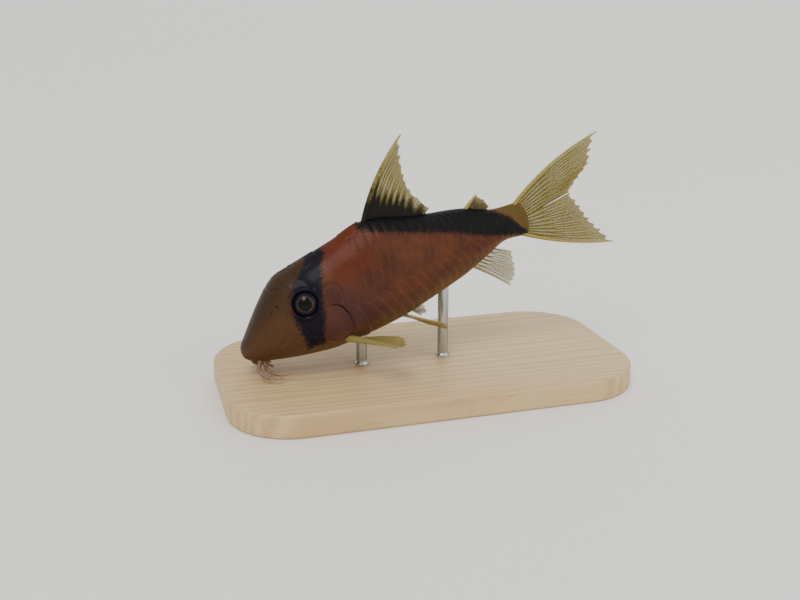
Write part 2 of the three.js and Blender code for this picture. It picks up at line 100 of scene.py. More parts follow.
# Each nostril's station, turn and radius
NOSTRILS = [(0.134, 0.26, 0.26), (0.158, 0.265, 0.32)]
NOSTRIL = {"rim": 0.17, "rim_width": 0.12, "rim_out": 0.1, "depth": 0.3, "width": 0.75}
MOUTH = {"station": 0.04, "level": -0.05, "slant": 0.43, "length": 0.78, "width": 1.44, "lip": 0.42,
         "folds": 22, "fold": 0.05, "grid": (72, 20), "lining": 0.9, "top": 0.13, "dome": 0.25,
         "lining_grid": (10, 48), "lining_hole": 0.02}
FEELER = {"steps": 40, "rings": 50, "ring": 0.05, "taper": 0.9, "tip": 0.93, "tip_length": 0.071,
          "least": 0.02}
FEELERS = {
    "barbel_upper": ([(0.045, 0.045, -0.04), (0.03, 0.075, -0.06), (0.05, 0.1, -0.088), (0.09, 0.11, -0.1)],
                     0.4, 0.13),
    "barbel_lower": ([(0.055, 0.04, -0.045), (0.055, 0.062, -0.075), (0.085, 0.08, -0.1),
                      (0.125, 0.085, -0.105)], 0.38, 0.12),
    "barbel_chin": ([(0.06, 0.014, -0.045), (0.06, 0.018, -0.068), (0.075, 0.022, -0.09)], 0.36, 0.15),
}

MEDIAN_FINS = {
    "dorsal_fin": {
        "base": [(0.499, 0.19), (0.59, 0.17), (0.68, 0.13)],
        "tips": [(0.724, 0.425), (0.7, 0.37), (0.688, 0.31), (0.69, 0.255), (0.728, 0.172)],
        "rays": 9, "bow": -0.25, "spine": 1.1, "wave": 0.35, "amber": 0.85},
    "adipose_fin": {
        "base": [(0.818, 0.1), (0.855, 0.085), (0.885, 0.07)],
        "tips": [(0.888, 0.147), (0.905, 0.122), (0.915, 0.095)],
        "rays": 3, "bow": -0.2, "spine": 0.9, "wave": 0.05, "amber": 0.7},
    "caudal_fin_upper": {
        "base": [(0.995, 0.062), (1.006, 0.038), (1.006, 0.0078)],
        "tips": [(1.342, 0.172), (1.303, 0.13), (1.283, 0.09), (1.24, 0.056), (1.19, 0.0225)],
        "rays": 9, "bow": -0.24, "ease": 1.0, "spine": 0.7, "wave": 0.4, "amber": 0.75},
    "caudal_fin_lower": {
        "base": [(0.995, -0.044), (1.006, -0.022), (1.006, 0.0062)],
        "tips": [(1.285, -0.203), (1.26, -0.15), (1.232, -0.095), (1.21, -0.036), (1.19, 0.0195)],
        "rays": 9, "bow": 0.16, "ease": 1.0, "spine": 0.7, "wave": -0.4, "amber": 0.75},
    "anal_fin": {
        "base": [(0.775, -0.05), (0.81, -0.045), (0.855, -0.03)],
        "tips": [(0.9, -0.195), (0.925, -0.165), (0.935, -0.13), (0.94, -0.085)],
        "rays": 7, "bow": -0.08, "spine": 0.6, "wave": 0.2, "amber": 0.15},
}
PAIRED_FINS = {
    "pectoral_fin": {
        "base": [(0, 0), (0.02, -0.002), (0.035, -0.008)],
        "tips": [(0.2, 0.075), (0.205, 0.02), (0.185, -0.03), (0.13, -0.06)],
        "rays": 8, "bow": 0.1, "spine": 1.2, "wave": 0.25, "amber": 0.15,
        "root": (0.318, 0.105, -0.07), "turn": (1.25, 0.22, -0.7)},
    "pelvic_fin": {
        "base": [(0, 0), (0.018, 0), (0.04, 0)],
        "tips": [(0.16, 0.045), (0.168, 0.01), (0.155, -0.03), (0.115, -0.055)],
        "rays": 6, "bow": 0.06, "spine": 0.7, "wave": 0.2, "amber": 0.15,
        "root": (0.5, 0.062, -0.085), "turn": (0.95, 0.62, -0.4)},
}
COLUMNS_PER_GAP, WEB_ROWS, RAY_STEPS = 8, 30, 44
# A ray's four strands part in twos: where along the ray they do, and how far
STRANDS = [-1.5, -0.5, 0.5, 1.5]
FORKS = [(0.15, 0.6, 0.25), (0.5, 0.95, 0.125)]
# Shares of a fin: how deep its root lies, how its edge is cut and torn, and how its rays taper
WEB_ROOT, RAY_ROOT = -0.03, -0.05
NOTCH, TEAR, TEARS = 0.05, 0.015, 37
SPINE_TAPER, RAY_TAPER, CLEAR_RAY = 0.72, 0.62, 0.7
# How softly a fin's black ends, and how much more or less of it the parts of a fin have
BLACK = {"fade": 0.56, "none": -3.0, "between_rays": 0.5, "behind_spine": 0.9, "spine_foot": 2.4,
         "spine_fade": 2.8, "web": 0.7, "ray": -0.9}

# Seams between the bones of the head, as points [station, turn]
BONE_SEAMS = [
    [(0.206, 0.42), (0.222, 0.5), (0.246, 0.53), (0.27, 0.49), (0.28, 0.42)],
    [(0.248, 0.53), (0.246, 0.62), (0.225, 0.71), (0.17, 0.74)],
    [(0.236, 0.0), (0.24, 0.08), (0.252, 0.14), (0.272, 0.2), (0.28, 0.3), (0.283, 0.42)],
    [(0.283, 0.33), (0.33, 0.3), (0.355, 0.34), (0.35, 0.44)],
    [(0.15, 0.0), (0.158, 0.1), (0.185, 0.17), (0.212, 0.2)],
    [(0.175, 0.34), (0.16, 0.45), (0.115, 0.52)],
]
# A seam's groove and the ridges beside it, in millimetres
SEAM = {"groove": 0.1, "groove_width": 0.16, "ridge": 0.05, "ridge_width": 0.2, "ridge_at": 0.32}
SEAM_ZONE = (0.08, 0.4)
HALF_GIRTH = 15.0
FAR = 9.0

# Markings, as points [station, level] on the flank seen from the side
MASK_FRONT = [(-0.06, 0.2), (-0.005, 0.196), (0.058, 0.196), (0.111, 0.199), (0.149, 0.232), (0.19, 0.3)]
MASK_REAR = [(-0.061, 0.246), (-0.013, 0.259), (0.05, 0.278), (0.11, 0.302), (0.168, 0.326), (0.19, 0.357)]
MASK_FOOT = -0.045
STRIPE_START = 0.49
STRIPE_LOW = [(0.49, 0.215), (0.52, 0.198), (0.61, 0.154), (0.75, 0.092), (0.86, 0.027), (0.94, -0.016),
              (1.0, -0.045), (1.02, -0.055)]
STRIPE_HIGH = [(0.86, 0.2), (0.88, 0.13), (0.9, 0.09), (0.93, 0.065), (0.967, 0.031), (0.991, -0.015),
               (1.02, -0.05)]
FIN_BLACK = [(0.5, 0.33), (0.594, 0.252), (0.62, 0.238), (0.65, 0.217), (0.67, 0.198), (0.75, 0.1)]

STAND = {"length": 64.0, "width": 34.0, "height": 3.6, "corner": 10.0, "bevel": 0.5}
RODS = {"stand_rod_front": 0.4, "stand_rod_rear": 0.7}
# The rod's flange, as heights over the base and widths past the rod's radius
FLANGE = [(-0.6, 0.0), (0.001, 0.35), (0.15, 0.35), (0.4, 0.02), (0.45, 0.0)]
ROD_START, ROD_STEPS, ROD_SIDES = 0.6, 12, 40
BEVEL_STEPS, CORNER_STEPS = 6, 25

# The camera that saw the fish: its focal length and picture middle in pixels
FOCAL, PICTURE = 1000.0, (800.0, 600.0)
LOOK_DOWN, LOOK_ROUND = math.radians(18.0), math.radians(16.35)
DISTANCE = 3.206 * LENGTH
FISH_PIXEL = (383.3, 284.7)
FISH_MIDDLE = (-6.219, 0.0, 16.076)
SENSOR = 36.0

# Lamps: their kind, angle or size, and place from the fish's middle, in metres
LAMPS = {"key": ("SUN", 0.5, (-0.2, -0.26, 0.5)), "fill": ("AREA", 0.35, (0.3, -0.3, 0.2)),
         "back": ("SUN", 0.7, (0.25, 0.4, 0.35))}
FLOOR_SPAN = 6.0
# How finely curves are measured, and how near points are merged, in metres
FINE_STEPS, SEAM_STEPS, MERGE, SLIVER = 400, 60, 1e-7, 1e-8
SIDES = (("left", -1), ("right", 1))


def linear(code):
    """An sRGB hex colour as a linear colour."""
    parts = [int(code[i:i + 2], 16) / 255 for i in (1, 3, 5)]
    return [p / 12.92 if p <= 0.04045 else ((p + 0.055) / 1.055) ** 2.4 for p in parts] + [1.0]


# Shape of the body

def along(knots, station):
    """A smooth value along a list of knots, with no overshoot between them."""
    x, y = np.array(knots, float).T
    rise = np.diff(y) / np.diff(x)
    before, after = np.r_[rise[:1], rise], np.r_[rise, rise[-1:]]
    same = before * after > 0
    tangent = np.where(same, 2 / (1 / np.where(same, before, 1) + 1 / np.where(same, after, 1)), 0)
    at = np.clip(station, x[0], x[-1])
    i = np.clip(np.searchsorted(x, at) - 1, 0, len(x) - 2)
    span = x[i + 1] - x[i]
    s = (at - x[i]) / span
    lean = tangent[i] * s * (1 - s) ** 2 - tangent[i + 1] * s * s * (1 - s)
    return y[i] + (y[i + 1] - y[i]) * s * s * (3 - 2 * s) + span * lean


def straight(points, value):
    """A value on straight lines between points."""
    return np.interp(value, *np.array(points).T)


def smooth(low, high, value):
    """Rises softly from 0 at low to 1 at high."""
    t = np.clip((np.asarray(value, float) - low) / (high - low), 0, 1)
    return t * t * (3 - 2 * t)


def hump(away, width, middle=0.0):
    """A soft hump, 1 high at its middle, that fades over its width."""
    return np.exp(-((away - middle) / width) ** 2)


def circle(count):
    """Angles spaced evenly round a circle."""
    return np.linspace(0, 2 * np.pi, count, endpoint=False)


def body_point(station, turn, side):
    """Points of the bare body in millimetres: turn runs from 0 on the back to 1 on the belly."""
    station, turn, side = np.broadcast_arrays(*(np.asarray(v, float) for v in (station, turn, side)))
    upper = turn < 0.5
    power = np.where(upper, along(UPPER_POWER, station), along(LOWER_POWER, station))
    widest = along(WIDEST, station)
    edge = np.where(upper, along(BACK, station), along(BELLY, station))
    out = along(HALF_WIDTH, station) * np.abs(np.sin(turn * np.pi)) ** (2 / power)
    level = widest + (edge - widest) * np.abs(np.cos(turn * np.pi)) ** (2 / power)
    return np.stack([station * LENGTH, side * out * LENGTH, level * LENGTH], -1)


def skin_point(station, turn, side, lift):
    """Points at a height over the bare body."""
    station, turn, side, lift = np.broadcast_arrays(
        *(np.asarray(v, float) for v in (station, turn, side, lift)))
    at = np.clip(station, STEP * 1.5, 1 - STEP)
    down = body_point(at, np.clip(turn + STEP, POLE, 1 - POLE), side)
    down = down - body_point(at, np.clip(turn - STEP, POLE, 1 - POLE), side)
    aft = body_point(at + STEP, turn, side) - body_point(at - STEP, turn, side)
    normal = np.cross(aft, down) * side[..., None]
    normal[..., 1] = np.where((turn <= 0) | (turn >= 1), 0, normal[..., 1])
    normal /= np.linalg.norm(normal, axis=-1, keepdims=True)
    return body_point(station, turn, side) + normal * lift[..., None]


def in_frame(points):
    """Millimetres in the fish's own level frame to metres in the model's frame."""
    x, y, z = np.moveaxis(np.asarray(points, float), -1, 0)
    c, s = math.cos(NOSE_DOWN), math.sin(NOSE_DOWN)
    return (np.stack([c * x - s * z, y, s * x + c * z], -1) + np.array(FISH_PLACE)) / 1000


def rounded(station, turn, plate):
    """0 in the middle of a round-cornered plate and 1 on its edge."""
    along_body = np.abs((station - plate["station"]) / plate["length"])
    across = np.abs((turn - plate["turn"]) / plate["spread"])
    return (along_body ** 3 + across ** 3) ** (1 / 3)


def seam_distance(station, turn, seam):
    """Distance on the skin to a seam between two bones, in millimetres."""
    fine = curve_point(np.array(seam) * (LENGTH, HALF_GIRTH), np.linspace(0, 1, SEAM_STEPS))
    near = np.full(station.shape, FAR)
    zone = (station > SEAM_ZONE[0]) & (station < SEAM_ZONE[1])
    spots = np.stack([station[zone] * LENGTH, turn[zone] * HALF_GIRTH], -1)
    near[zone] = np.linalg.norm(spots[:, None] - fine[None], axis=-1).min(1)
    return near


def relief(station, turn, side):
    """Height of the skin's own forms over the bare body, in millimetres."""
    bare = body_point(station, turn, side)

    def away(at, level):
        return np.linalg.norm(bare - body_point(at, level, side), axis=-1)

    # Eye sockets with their raised rims
    eye = away(*EYE_AT)
    height = ORBIT["rim"] * hump(eye, ORBIT["rim_width"], ORBIT["radius"])
    height -= ORBIT["depth"] * (1 - smooth(ORBIT["floor"], ORBIT["wall"], eye))
    for at, level, rise, width in SWELLS:
        height += rise * hump(away(at, level), width)
    # Nostrils with their rims
    for at, level, radius in NOSTRILS:
        nostril = away(at, level)
        height += NOSTRIL["rim"] * hump(nostril, NOSTRIL["rim_width"], radius + NOSTRIL["rim_out"])
        height -= NOSTRIL["depth"] * hump(nostril, NOSTRIL["width"] * radius)
    # Groove along the crown's middle
    groove = smooth(0.2, 0.215, station) * (1 - smooth(0.245, 0.26, station))
    height -= GROOVE["depth"] * groove * hump(bare[..., 1], GROOVE["width"])
    # Plates that straddle the back
    for plate in (CROWN, NAPE):
        b = (station - plate["station"]) / plate["length"]
        a = turn / (plate["spread"] * np.sqrt(1 - NARROWING * np.clip(b * b, 0, 1)))
        rise = plate["front"] + (plate["rear"] - plate["front"]) * (np.clip(b, -1, 1) + 1) / 2
        inside = smooth(0, 0.1, 1 - a) * smooth(0, 0.08, 1 - np.abs(b))
        height += KEPT * rise * (1 - FLATTENING * np.clip(a, 0, 1)) * inside
    # Shoulder plate behind the gill opening, and the pocket under the gill cover
    rise = SHOULDER["rise"] + SHOULDER["slope"] * (station - SHOULDER["station"])
    height += rise * (1 - smooth(0.86, 0.98, rounded(station, turn, SHOULDER)))
    cover = rounded(station, turn, GILL_COVER)
    rearward = smooth(-0.6, 0.4, (station - GILL_COVER["station"]) / GILL_COVER["length"])
    lower = smooth(0.3, 0.9, (turn - GILL_COVER["turn"]) / GILL_COVER["spread"])
    height -= GILL_POCKET * (1 - smooth(0.95, 1.03, cover)) * np.maximum(rearward, lower)
    # Seams: a fine groove with a soft ridge on either side
    for seam in BONE_SEAMS:
        near = seam_distance(station, turn, seam)
        height += SEAM["ridge"] * hump(near, SEAM["ridge_width"], SEAM["ridge_at"])
        height -= SEAM["groove"] * hump(near, SEAM["groove_width"])
    return height


def markings(points, edge=0.0, tone=0.0):
    """Where each colour of the skin, the painted sheen and the painted shade lie, as values on the points:
    distances are in millimetres.
    """
    x, _, z = np.moveaxis(points, -1, 0) / LENGTH
    back, floor, widest = along(BACK, x), along(BELLY, x), along(WIDEST, x)
    high = np.where(x < STRIPE_HIGH[0][0], 1.0, straight(STRIPE_HIGH, x))
    in_mask = np.minimum(x - straight(MASK_FRONT, z), straight(MASK_REAR, z) - x)
    in_stripe = np.minimum(z - straight(STRIPE_LOW, x), high - z)
    return {
        "mask": np.minimum(in_mask, z - MASK_FOOT) * LENGTH,
        "stripe": np.minimum(in_stripe, x - STRIPE_START) * LENGTH,
        "belly": 1 - smooth(0.05, 0.75, (z - floor) / (widest - floor)),
        "nape": smooth(0.335, 0.37, x) * (1 - smooth(0.45, 0.54, x)) * smooth(0.07, 0.15, z),
        # Painted sheen: a pinkish violet sheen behind the head, painted into the skin's colour
        "flush": hump(x, 0.11, 0.36) * hump(z, 0.08, 0.02),
        "head": 1 - smooth(0.2, 0.3, x),
        # Painted shade: the top of the head is made darker against the light from above
        "crown": (1 - smooth(0.28, 0.35, x)) * smooth(0.35, 1.0, (z - widest) / (back - widest)),
        "rump": np.clip((z - high) * LENGTH, -1, 1) * smooth(0.8, 0.86, x) + smooth(0.99, 1.0, x),
        "edge": np.broadcast_to(edge, x.shape),
        "tone": np.broadcast_to(tone, x.shape),
    }


SKIN_VALUES = ("mask", "stripe", "belly", "nape", "flush", "head", "crown", "rump", "edge", "tone")


# Meshes

def linked(name, data):
    """An object for a mesh, a lamp or a camera, in the scene."""
    made = bpy.data.objects.new(name, data)
    bpy.context.scene.collection.objects.link(made)
    return made


def add_values(mesh, values):
    """Named values on a mesh's points."""
    for key, value in values.items():
        layer = mesh.attributes.new(key, "FLOAT", "POINT")
        layer.data.foreach_set("value", np.asarray(value, np.float32).ravel())


def mesh_object(name, points, faces, finish, values=None):
    """A plain mesh object with smooth faces, a named finish and named values on its points."""
    mesh = bpy.data.meshes.new(name)
    mesh.from_pydata(np.asarray(points, float).reshape(-1, 3).tolist(), [], [tuple(f) for f in faces])
    add_values(mesh, values or {})
    mesh.polygons.foreach_set("use_smooth", [True] * len(mesh.polygons))
    mesh.validate()
    mesh.update()
    mesh.materials.append(material(finish))
    return linked(name, mesh)


def tidy(made):
    """Merges doubled points and turns the faces outwards."""
    shape = bmesh.new()
    shape.from_mesh(made.data)
    bmesh.ops.remove_doubles(shape, verts=shape.verts, dist=MERGE)
    bmesh.ops.dissolve_degenerate(shape, edges=shape.edges, dist=SLIVER)
    bmesh.ops.recalc_face_normals(shape, faces=shape.faces)
    shape.to_mesh(made.data)
    shape.free()
    return made


def grid_faces(rows, columns, closed=False):
    """Four-sided faces over a grid of points, closed round its columns if asked."""
    r, c = np.meshgrid(np.arange(rows - 1), np.arange(columns if closed else columns - 1), indexing="ij")
    a, b = r * columns + c, r * columns + (c + 1) % columns
    return np.stack([a, b, b + columns, a + columns], -1).reshape(-1, 4).tolist()


def front_face(columns):
    """The face that closes the first ring."""
    return list(range(columns))[::-1]


def turned_faces(rows, columns):
    """Faces over a stack of rings, with both ends closed."""
    end = [(rows - 1) * columns + i for i in range(columns)]
    return grid_faces(rows, columns, closed=True) + [front_face(columns), end]


def slab(outer, inner):
    """A closed slab between two grids of points: its points and faces."""
    rows, columns = outer.shape[:2]
    under = rows * columns
    top = grid_faces(rows, columns)
    bottom = [[i + under for i in face[::-1]] for face in top]
    ring = list(range(columns)) + [r * columns + columns - 1 for r in range(1, rows)]
    ring += [under - 1 - c for c in range(1, columns)] + [r * columns for r in range(rows - 2, 0, -1)]
    wall = [[b, a, a + under, b + under] for a, b in zip(ring, ring[1:] + ring[:1])]
    return np.concatenate([outer.reshape(-1, 3), inner.reshape(-1, 3)]), top + bottom + wall


def gathered(parts):
    """Many parts as one: all their points, their faces or edges, and the values on the points."""
    points, links, values, first = [], [], {}, 0
    for part_points, part_links, part_values in parts:
        points.append(part_points)
        links += [[i + first for i in link] for link in part_links]
        for key, value in part_values.items():
            values.setdefault(key, []).append(np.ravel(value))
        first += len(part_points)
    return np.concatenate(points), links, {key: np.concatenate(value) for key, value in values.items()}


def own(piece, slot, *nodes):
    """Lets a finished piece ride on the body and stand for its solids, which it hides: its slot is not used.
    """
    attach(piece, "root")
    if nodes:
        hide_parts(*nodes)


def curve_point(knots, t):
    """Points on a smooth curve through the knots, evenly shared between them."""
    knots = np.array(knots, float)
    last = len(knots) - 1
    place = np.clip(np.asarray(t, float), 0, 1) * last
    i = np.minimum(place.astype(int), last - 1)
    w = (place - i)[..., None]
    padded = np.vstack([2 * knots[0] - knots[1], knots, 2 * knots[-1] - knots[-2]])
    p0, p1, p2, p3 = (padded[i + k] for k in range(4))
    d0, d1, d2 = (np.linalg.norm(b - a, axis=-1, keepdims=True) ** 0.5
                  for a, b in ((p0, p1), (p1, p2), (p2, p3)))
    t1 = ((p1 - p0) / d0 - (p2 - p0) / (d0 + d1) + (p2 - p1) / d1) * d1
    t2 = ((p2 - p1) / d1 - (p3 - p1) / (d1 + d2) + (p3 - p2) / d2) * d1
    return p1 + t1 * w + (-3 * p1 + 3 * p2 - 2 * t1 - t2) * w ** 2 + (2 * p1 - 2 * p2 + t1 + t2) * w ** 3


def even_points(knots, count):
    """Points spaced evenly along a smooth curve through the knots."""
    fine = curve_point(knots, np.linspace(0, 1, FINE_STEPS))
    run = np.r_[0, np.cumsum(np.linalg.norm(np.diff(fine, axis=0), axis=1))]
    return np.stack([np.interp(np.linspace(0, run[-1], count), run, fine[:, k]) for k in range(3)], -1)


# Nodes

def fill(tree, made, inputs):
    """Gives or links a node's inputs, by name or number."""
    for key, value in inputs.items():
        named = isinstance(key, str)
        socket = next(s for s in made.inputs if s.enabled and s.name == key) if named else made.inputs[key]
        if isinstance(value, bpy.types.Node):
            value = next(s for s in value.outputs if s.enabled)
        if isinstance(value, bpy.types.NodeSocket):
            tree.links.new(value, socket)
        else:
            socket.default_value = value


def node(tree, kind, inputs=None, **settings):
    """Adds a node with its settings and inputs: a kind without the word Node is a shader node."""
    made = tree.nodes.new(kind if "Node" in kind else "ShaderNode" + kind)
    for name, value in settings.items():
        setattr(made, name, value)
    fill(tree, made, inputs or {})
    return made


def tube_tree():
    """Geometry nodes that wrap a round tube about each line of points, as thick as its radius value."""
    tree = bpy.data.node_groups.new("ray_tubes", "GeometryNodeTree")
    add = partial(node, tree)
    names = {}
    for name, kind in (("Lines", "Geometry"), ("Sides", "Int"), ("Thickness", "Float"),
                       ("Material", "Material")):
        socket = tree.interface.new_socket(name, in_out="INPUT", socket_type="NodeSocket" + kind)
        names[name] = socket.identifier
    tree.interface.new_socket("Tubes", in_out="OUTPUT", socket_type="NodeSocketGeometry")
    given = add("NodeGroupInput").outputs
    radius = add("GeometryNodeInputNamedAttribute", {"Name": "radius"}, data_type="FLOAT")
    lines = add("GeometryNodeMeshToCurve", {"Mesh": given["Lines"]})
    ring = add("GeometryNodeCurvePrimitiveCircle", {"Resolution": given["Sides"], "Radius": 0.001})
    scale = add("Math", {0: radius, 1: given["Thickness"]}, operation="MULTIPLY")
    tube = add("GeometryNodeCurveToMesh",
               {"Curve": lines, "Profile Curve": ring, "Scale": scale, "Fill Caps": True})
    soft = add("GeometryNodeSetShadeSmooth", {0: tube})
    real = add("GeometryNodeRealizeInstances", {0: soft})
    done = add("GeometryNodeSetMaterial", {"Geometry": real, "Material": given["Material"]})
    add("NodeGroupOutput", {"Tubes": done})
    return tree, names


def tubes(name, lines, finish, sides=8):
    """One mesh of tubes from lines, each a tuple of points in metres and values on them."""
    points, edges, values = gathered(
        (line, [(i, i + 1) for i in range(len(line) - 1)], line_values) for line, line_values in lines)
    mesh = bpy.data.meshes.new(name + "_lines")
    mesh.from_pydata(points.tolist(), edges, [])
    add_values(mesh, values)
    source = linked(name + "_lines", mesh)
    modifier = source.modifiers.new("tubes", "NODES")
    modifier.node_group, names = tube_tree()
    for key, value in (("Sides", sides), ("Thickness", 1.0), ("Material", material(finish))):
        modifier[names[key]] = value
    seen = source.evaluated_get(bpy.context.evaluated_depsgraph_get())
    result = bpy.data.meshes.new_from_object(seen)
    result.name = name
    bpy.data.objects.remove(source)
    return linked(name, result)


# Materials

def per(width):
    """A pattern's scale from its real width in millimetres."""
    return 1000 / width


def wet_fish_skin(look, add, place):
    """Wet fish skin over bony plates: a coppery ground with fine dark specks, a soft satin gloss, a painted
    violet sheen behind the head and painted shade on the top of the head.
    """
    value = {name: add("Attribute", attribute_name=name).outputs["Fac"] for name in SKIN_VALUES}
    # Clouds 3 mm wide and grain 0.35 mm wide
    clouds = add("TexNoise", {"Vector": place, "Scale": per(3.03), "Detail": 4.0})
    grain = add("TexNoise", {"Vector": place, "Scale": per(0.357), "Detail": 3.0})
    soft = add("MapRange", {"Value": clouds, "From Min": 0.35, "From Max": 0.65})
    colour = add("Mix", {"Factor": soft, "A": look.flank_dark, "B": look.flank}, data_type="RGBA")
    # Head, nape and belly colours are the fish's own; the violet patch behind the head is a painted sheen,
    # and the darker top of the head is painted shade
    for name, share in (("head", 0.85), ("flush", 0.65), ("nape", 0.8), ("crown", 0.75), ("belly", 0.8)):
        much = add("Math", {0: value[name], 1: share}, operation="MULTIPLY")
        colour = add("Mix", {"Factor": much, "A": colour, "B": getattr(look, name)}, data_type="RGBA")
    rump = add("MapRange", {"Value": value["rump"], "From Min": -0.1, "From Max": 0.7},
               interpolation_type="SMOOTHSTEP")
    colour = add("Mix", {"Factor": rump, "A": colour, "B": look.rump}, data_type="RGBA")
    # Each scute is a little lighter or darker, with a pale free edge
    tone = add("Math", {0: value["tone"], 1: 0.06, 2: 1.0}, operation="MULTIPLY_ADD")
    colour = add("VectorMath", {"Vector": colour, "Scale": tone}, operation="SCALE")
    edge = add("Math", {0: value["edge"], 1: 0.16}, operation="MULTIPLY")
    colour = add("Mix", {"Factor": edge, "A": colour, "B": look.edge}, data_type="RGBA")
    # Dark specks 0.2 mm across, thick in some clouds and thin in others
    cells = add("TexVoronoi", {"Vector": place, "Scale": per(0.385)}, feature="F1")
    near = add("MapRange", {"Value": cells, "From Min": 0.38, "From Max": 0.2})
    patch = add("MapRange", {"Value": clouds, "From Min": 0.62, "From Max": 0.4})
    specks = add("Math", {0: near, 1: patch}, operation="MULTIPLY")
    specks = add("Math", {0: specks, 1: 0.42}, operation="MULTIPLY")
    colour = add("Mix", {"Factor": specks, "A": colour, "B": look.speck}, data_type="RGBA")
    # Black mask and stripe, with edges that break up into specks
    ragged = add("Math", {0: grain, 1: 1.6, 2: -0.8}, operation="MULTIPLY_ADD")
    wander = add("Math", {0: clouds, 1: 1.2, 2: -0.6}, operation="MULTIPLY_ADD")
    ragged = add("Math", {0: ragged, 1: wander}, operation="ADD")
    for name in ("stripe", "mask"):
        far = add("Math", {0: value[name], 1: ragged}, operation="ADD")
        cover = add("MapRange", {"Value": far, "From Min": -0.6, "From Max": 0.3, "To Max": 0.97},
                    interpolation_type="SMOOTHSTEP")
        colour = add("Mix", {"Factor": cover, "A": colour, "B": getattr(look, name)}, data_type="RGBA")
    gloss = add("MapRange", {"Value": grain, "To Min": 0.38, "To Max": 0.56})
    # Fine pits 0.3 mm apart in the grain
    pits = add("TexVoronoi", {"Vector": place, "Scale": per(0.303)}, feature="SMOOTH_F1")
    bumps = add("Math", {0: grain, 1: 0.8, 2: pits}, operation="MULTIPLY_ADD")
    bump = add("Bump", {"Strength": 0.45, "Distance": 0.00008, "Height": bumps})
    return {"Base Color": colour, "Roughness": gloss, "Normal": bump, "IOR": 1.42,
            "Specular IOR Level": 0.13, "Coat Weight": 0.05, "Coat Roughness": 0.15,
            "Subsurface Weight": 0.06, "Subsurface Radius": (0.9, 0.4, 0.25), "Subsurface Scale": 0.001}


def wet_eye(look, add, place):
    """Living eye under a clear wet cornea: black pupil, thin copper ring, dark mottled iris."""
    angle = add("Attribute", attribute_name="angle").outputs["Fac"]
    # Mottling 0.3 mm wide
    noise = add("TexNoise", {"Vector": place, "Scale": per(0.3125), "Detail": 3.0})
    wobble = add("Math", {0: noise, 1: 0.1, 2: angle}, operation="MULTIPLY_ADD")
    bands = add("ValToRGB", {"Fac": wobble})
    ramp = bands.color_ramp
    for spot, shade_of in ((0.5, look.pupil), (0.54, look.ring), (0.6, look.iris), (0.8, look.iris)):
        ramp.elements.new(spot).color = shade_of
    ramp.elements[0].color = look.pupil
    ramp.elements[-1].position = 0.95
    ramp.elements[-1].color = look.white
    shade = add("MapRange", {"Value": noise, "To Min": 0.55, "To Max": 1.35})
    colour = add("VectorMath", {"Vector": bands, "Scale": shade}, operation="SCALE")
    return {"Base Color": colour, "Roughness": 0.35, "IOR": 1.38, "Specular IOR Level": 0.1,
            "Coat Weight": 0.35, "Coat Roughness": 0.04, "Coat IOR": 1.36}


def moist_feeler_skin(look, add, place):
    """Soft bare skin of a feeler: pale, moist and faintly speckled."""
    run = add("Attribute", attribute_name="reach").outputs["Fac"]
    # Specks 0.4 mm wide
    specks = add("TexNoise", {"Vector": place, "Scale": per(0.385), "Detail": 2.0})
    some = add("MapRange", {"Value": specks, "From Min": 0.5, "From Max": 0.68, "To Max": 0.6})
    colour = add("Mix", {"Factor": run, "A": look.feeler, "B": look.feeler_tip}, data_type="RGBA")
    colour = add("Mix", {"Factor": some, "A": colour, "B": look.speck}, data_type="RGBA")
    bump = add("Bump", {"Strength": 0.3, "Distance": 0.00004, "Height": specks})
    return {"Base Color": colour, "Normal": bump, "Roughness": 0.36, "Subsurface Weight": 0.15,
            "Subsurface Radius": (0.8, 0.4, 0.3), "Subsurface Scale": 0.0008}


def fin_tissue(look, add, place, pale, deep, rays, clear):
    """Fin tissue: a thin see-through web, or the denser straw-coloured rays with their fine joints."""
    value = {key: add("Attribute", attribute_name=key).outputs["Fac"] for key in ("black", "reach", "amber")}
    # Clouds 1.4 mm wide and grain 0.25 mm wide
    clouds = add("TexNoise", {"Vector": place, "Scale": per(1.43), "Detail": 3.0})
    grain = add("TexNoise", {"Vector": place, "Scale": per(0.238), "Detail": 2.0})
    colour = add("Mix", {"Factor": value["amber"], "A": getattr(look, pale), "B": getattr(look, deep)},
                 data_type="RGBA")
    if rays:
        # 24 joints along a ray, about 0.6 mm apart, show as faint darker rings
        run = add("Math", {0: value["reach"], 1: 150.0}, operation="MULTIPLY")
        joints = add("Math", {0: run}, operation="SINE")
        faint = add("MapRange", {"Value": joints, "From Min": 0.4, "To Max": 0.22})
    else:
        faint = add("MapRange", {"Value": clouds, "From Min": 0.45, "From Max": 0.7, "To Max": 0.35})
    colour = add("Mix", {"Factor": faint, "A": colour, "B": look.web_deep}, data_type="RGBA")
    far = add("Math", {0: grain, 1: 1.3, 2: value["black"]}, operation="MULTIPLY_ADD")
    far = add("Math", {0: clouds, 1: 1.6, 2: far}, operation="MULTIPLY_ADD")
    cover = add("MapRange", {"Value": far, "From Min": 0.6, "From Max": 2.3, "To Max": 0.97},
                interpolation_type="SMOOTHSTEP")
    colour = add("Mix", {"Factor": cover, "A": colour, "B": look.stripe}, data_type="RGBA")
    solid = add("MapRange", {"Value": cover, "To Min": clear, "To Max": 0.97})
    bump = add("Bump", {"Strength": 0.25, "Distance": 0.00004, "Height": grain})
    return {"Base Color": colour, "Alpha": solid, "Normal": bump, "Roughness": 0.38, "IOR": 1.4,
            "Specular IOR Level": 0.2, "Subsurface Weight": 0.2, "Subsurface Radius": (1.0, 0.8, 0.5),
            "Subsurface Scale": 0.0006}


def wet_mouth_lining(look, add, place):
    """Wet lining of the mouth: dark, soft and glossy."""
    # Folds 0.55 mm wide
    folds = add("TexNoise", {"Vector": place, "Scale": per(0.556), "Detail": 2.0})
    colour = add("Mix", {"Factor": folds, "A": look.speck, "B": look.mouth}, data_type="RGBA")
    return {"Base Color": colour, "Roughness": 0.25}


